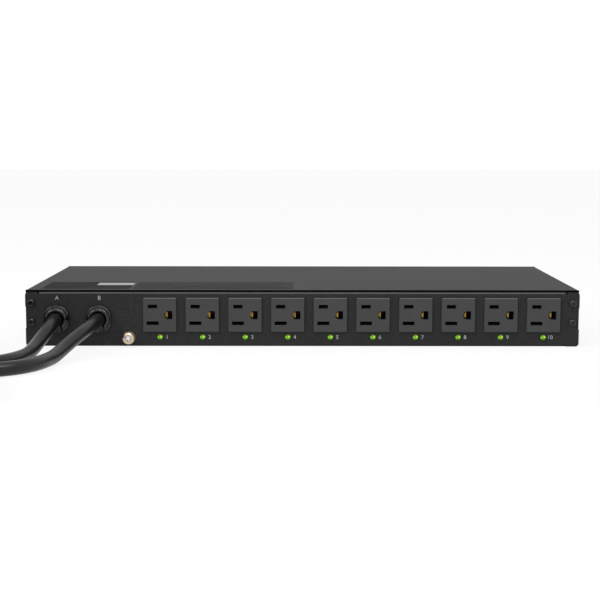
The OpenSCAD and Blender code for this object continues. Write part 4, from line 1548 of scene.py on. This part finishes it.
@dataclass
class ControlPanel:
    """The control side: display, push buttons, status lights, breakers and network jack."""

    buttons: Sequence[str] = ("select_button", "scroll_button", "enter_button")
    resets: Sequence[str] = ("reset_button_a", "reset_button_b")
    breakers: Sequence[str] = ("breaker_a", "breaker_b")
    glass: SmokedWindow = SmokedWindow()
    cap: Moulded = Moulded("button_cap", (0.13, 0.13, 0.135), 0.5)
    reset_cap: Moulded = Moulded("reset_cap", (0.62, 0.6, 0.54), 0.4)
    status: Moulded = Moulded("status_lens", (0.02, 0.16, 0.02), 0.15, gloss=0.6)

    def build(self) -> None:
        """Dresses the panel's pieces, and makes the jack's wires."""
        dress(("display_window",), self.glass)
        dress(self.buttons, self.cap)
        dress(self.resets, self.reset_cap)
        dress(self.breakers, CASE)
        dress(("status_lenses",), self.status)
        dress(("network_jack",), ZINC)
        JackContacts().build()
        LOG.info("control panel: %d buttons", len(self.buttons) + len(self.resets))


@dataclass
class Casing:
    """Folded steel chassis with its screws, labels and ground terminal."""

    steel: Sequence[str] = ("chassis_tray", "top_cover", "rear_panel", "front_panel")
    screws: Sequence[str] = ("panel_screws", "cover_screws")
    coat: PowderCoat = PowderCoat()
    black: Moulded = Moulded("black_screw", (0.004, 0.004, 0.0043), 0.16, grain=1500)
    film: LabelFilm = LabelFilm()
    yellow: YellowZinc = YellowZinc()

    def build(self) -> None:
        """Dresses the casing's pieces."""
        dress(self.steel, self.coat)
        dress(self.screws, self.black)
        dress(("cover_labels",), self.film)
        dress(("ground_screw", "ground_flat_washers"), self.yellow)
        dress(("ground_lock_washer",), ZINC)
        LOG.info("casing: %d folded panels", len(self.steel))


@dataclass
class Electronics:
    """Boards and components inside the casing, each group with its finish."""

    groups: Sequence[tuple[Sequence[str], Finish]] = (
        (("indicator_board", "display_board", "control_board", "power_board"), SolderMask()),
        (("board_standoffs",), ZINC),
        (("thyristor_modules", "transfer_relays"), CASE),
        (("heatsink",), Plated("heatsink_aluminium", (0.7, 0.71, 0.73), 0.35, grain=300)),
        (("aux_transformer",), Moulded("transformer_tape", (0.6, 0.45, 0.06), 0.4)),
        (("filter_capacitors",), Moulded("capacitor_sleeve", (0.02, 0.035, 0.13), 0.25)),
        (("current_sensors",), Moulded("sensor_case", (0.02, 0.06, 0.22), 0.4)),
        (("terminal_blocks",), Moulded("terminal_plastic", (0.04, 0.2, 0.08))),
    )

    def build(self) -> None:
        """Dresses the groups."""
        for nodes, finish in self.groups:
            dress(nodes, finish)
            LOG.info("inside: %s", ", ".join(nodes))


# ---------------------------------------------------------------- the whole


def main() -> None:
    """Builds the looks, sub-assembly by sub-assembly."""
    logging.basicConfig(level=logging.INFO, format="%(name)s: %(message)s")
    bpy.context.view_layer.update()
    Studio().build()
    InputCord("a", LEAD_A, (-305, -141.5), Winding.CLOCKWISE).build()
    InputCord("b", LEAD_B, (-271, -301), Winding.COUNTER).build()
    Casing().build()
    OutletRow().build()
    Bushing("a", -186.2 * MM).build()
    Bushing("b", -154.2 * MM).build()
    ControlPanel().build()
    Electronics().build()


if __name__ == "__main__":
    main()
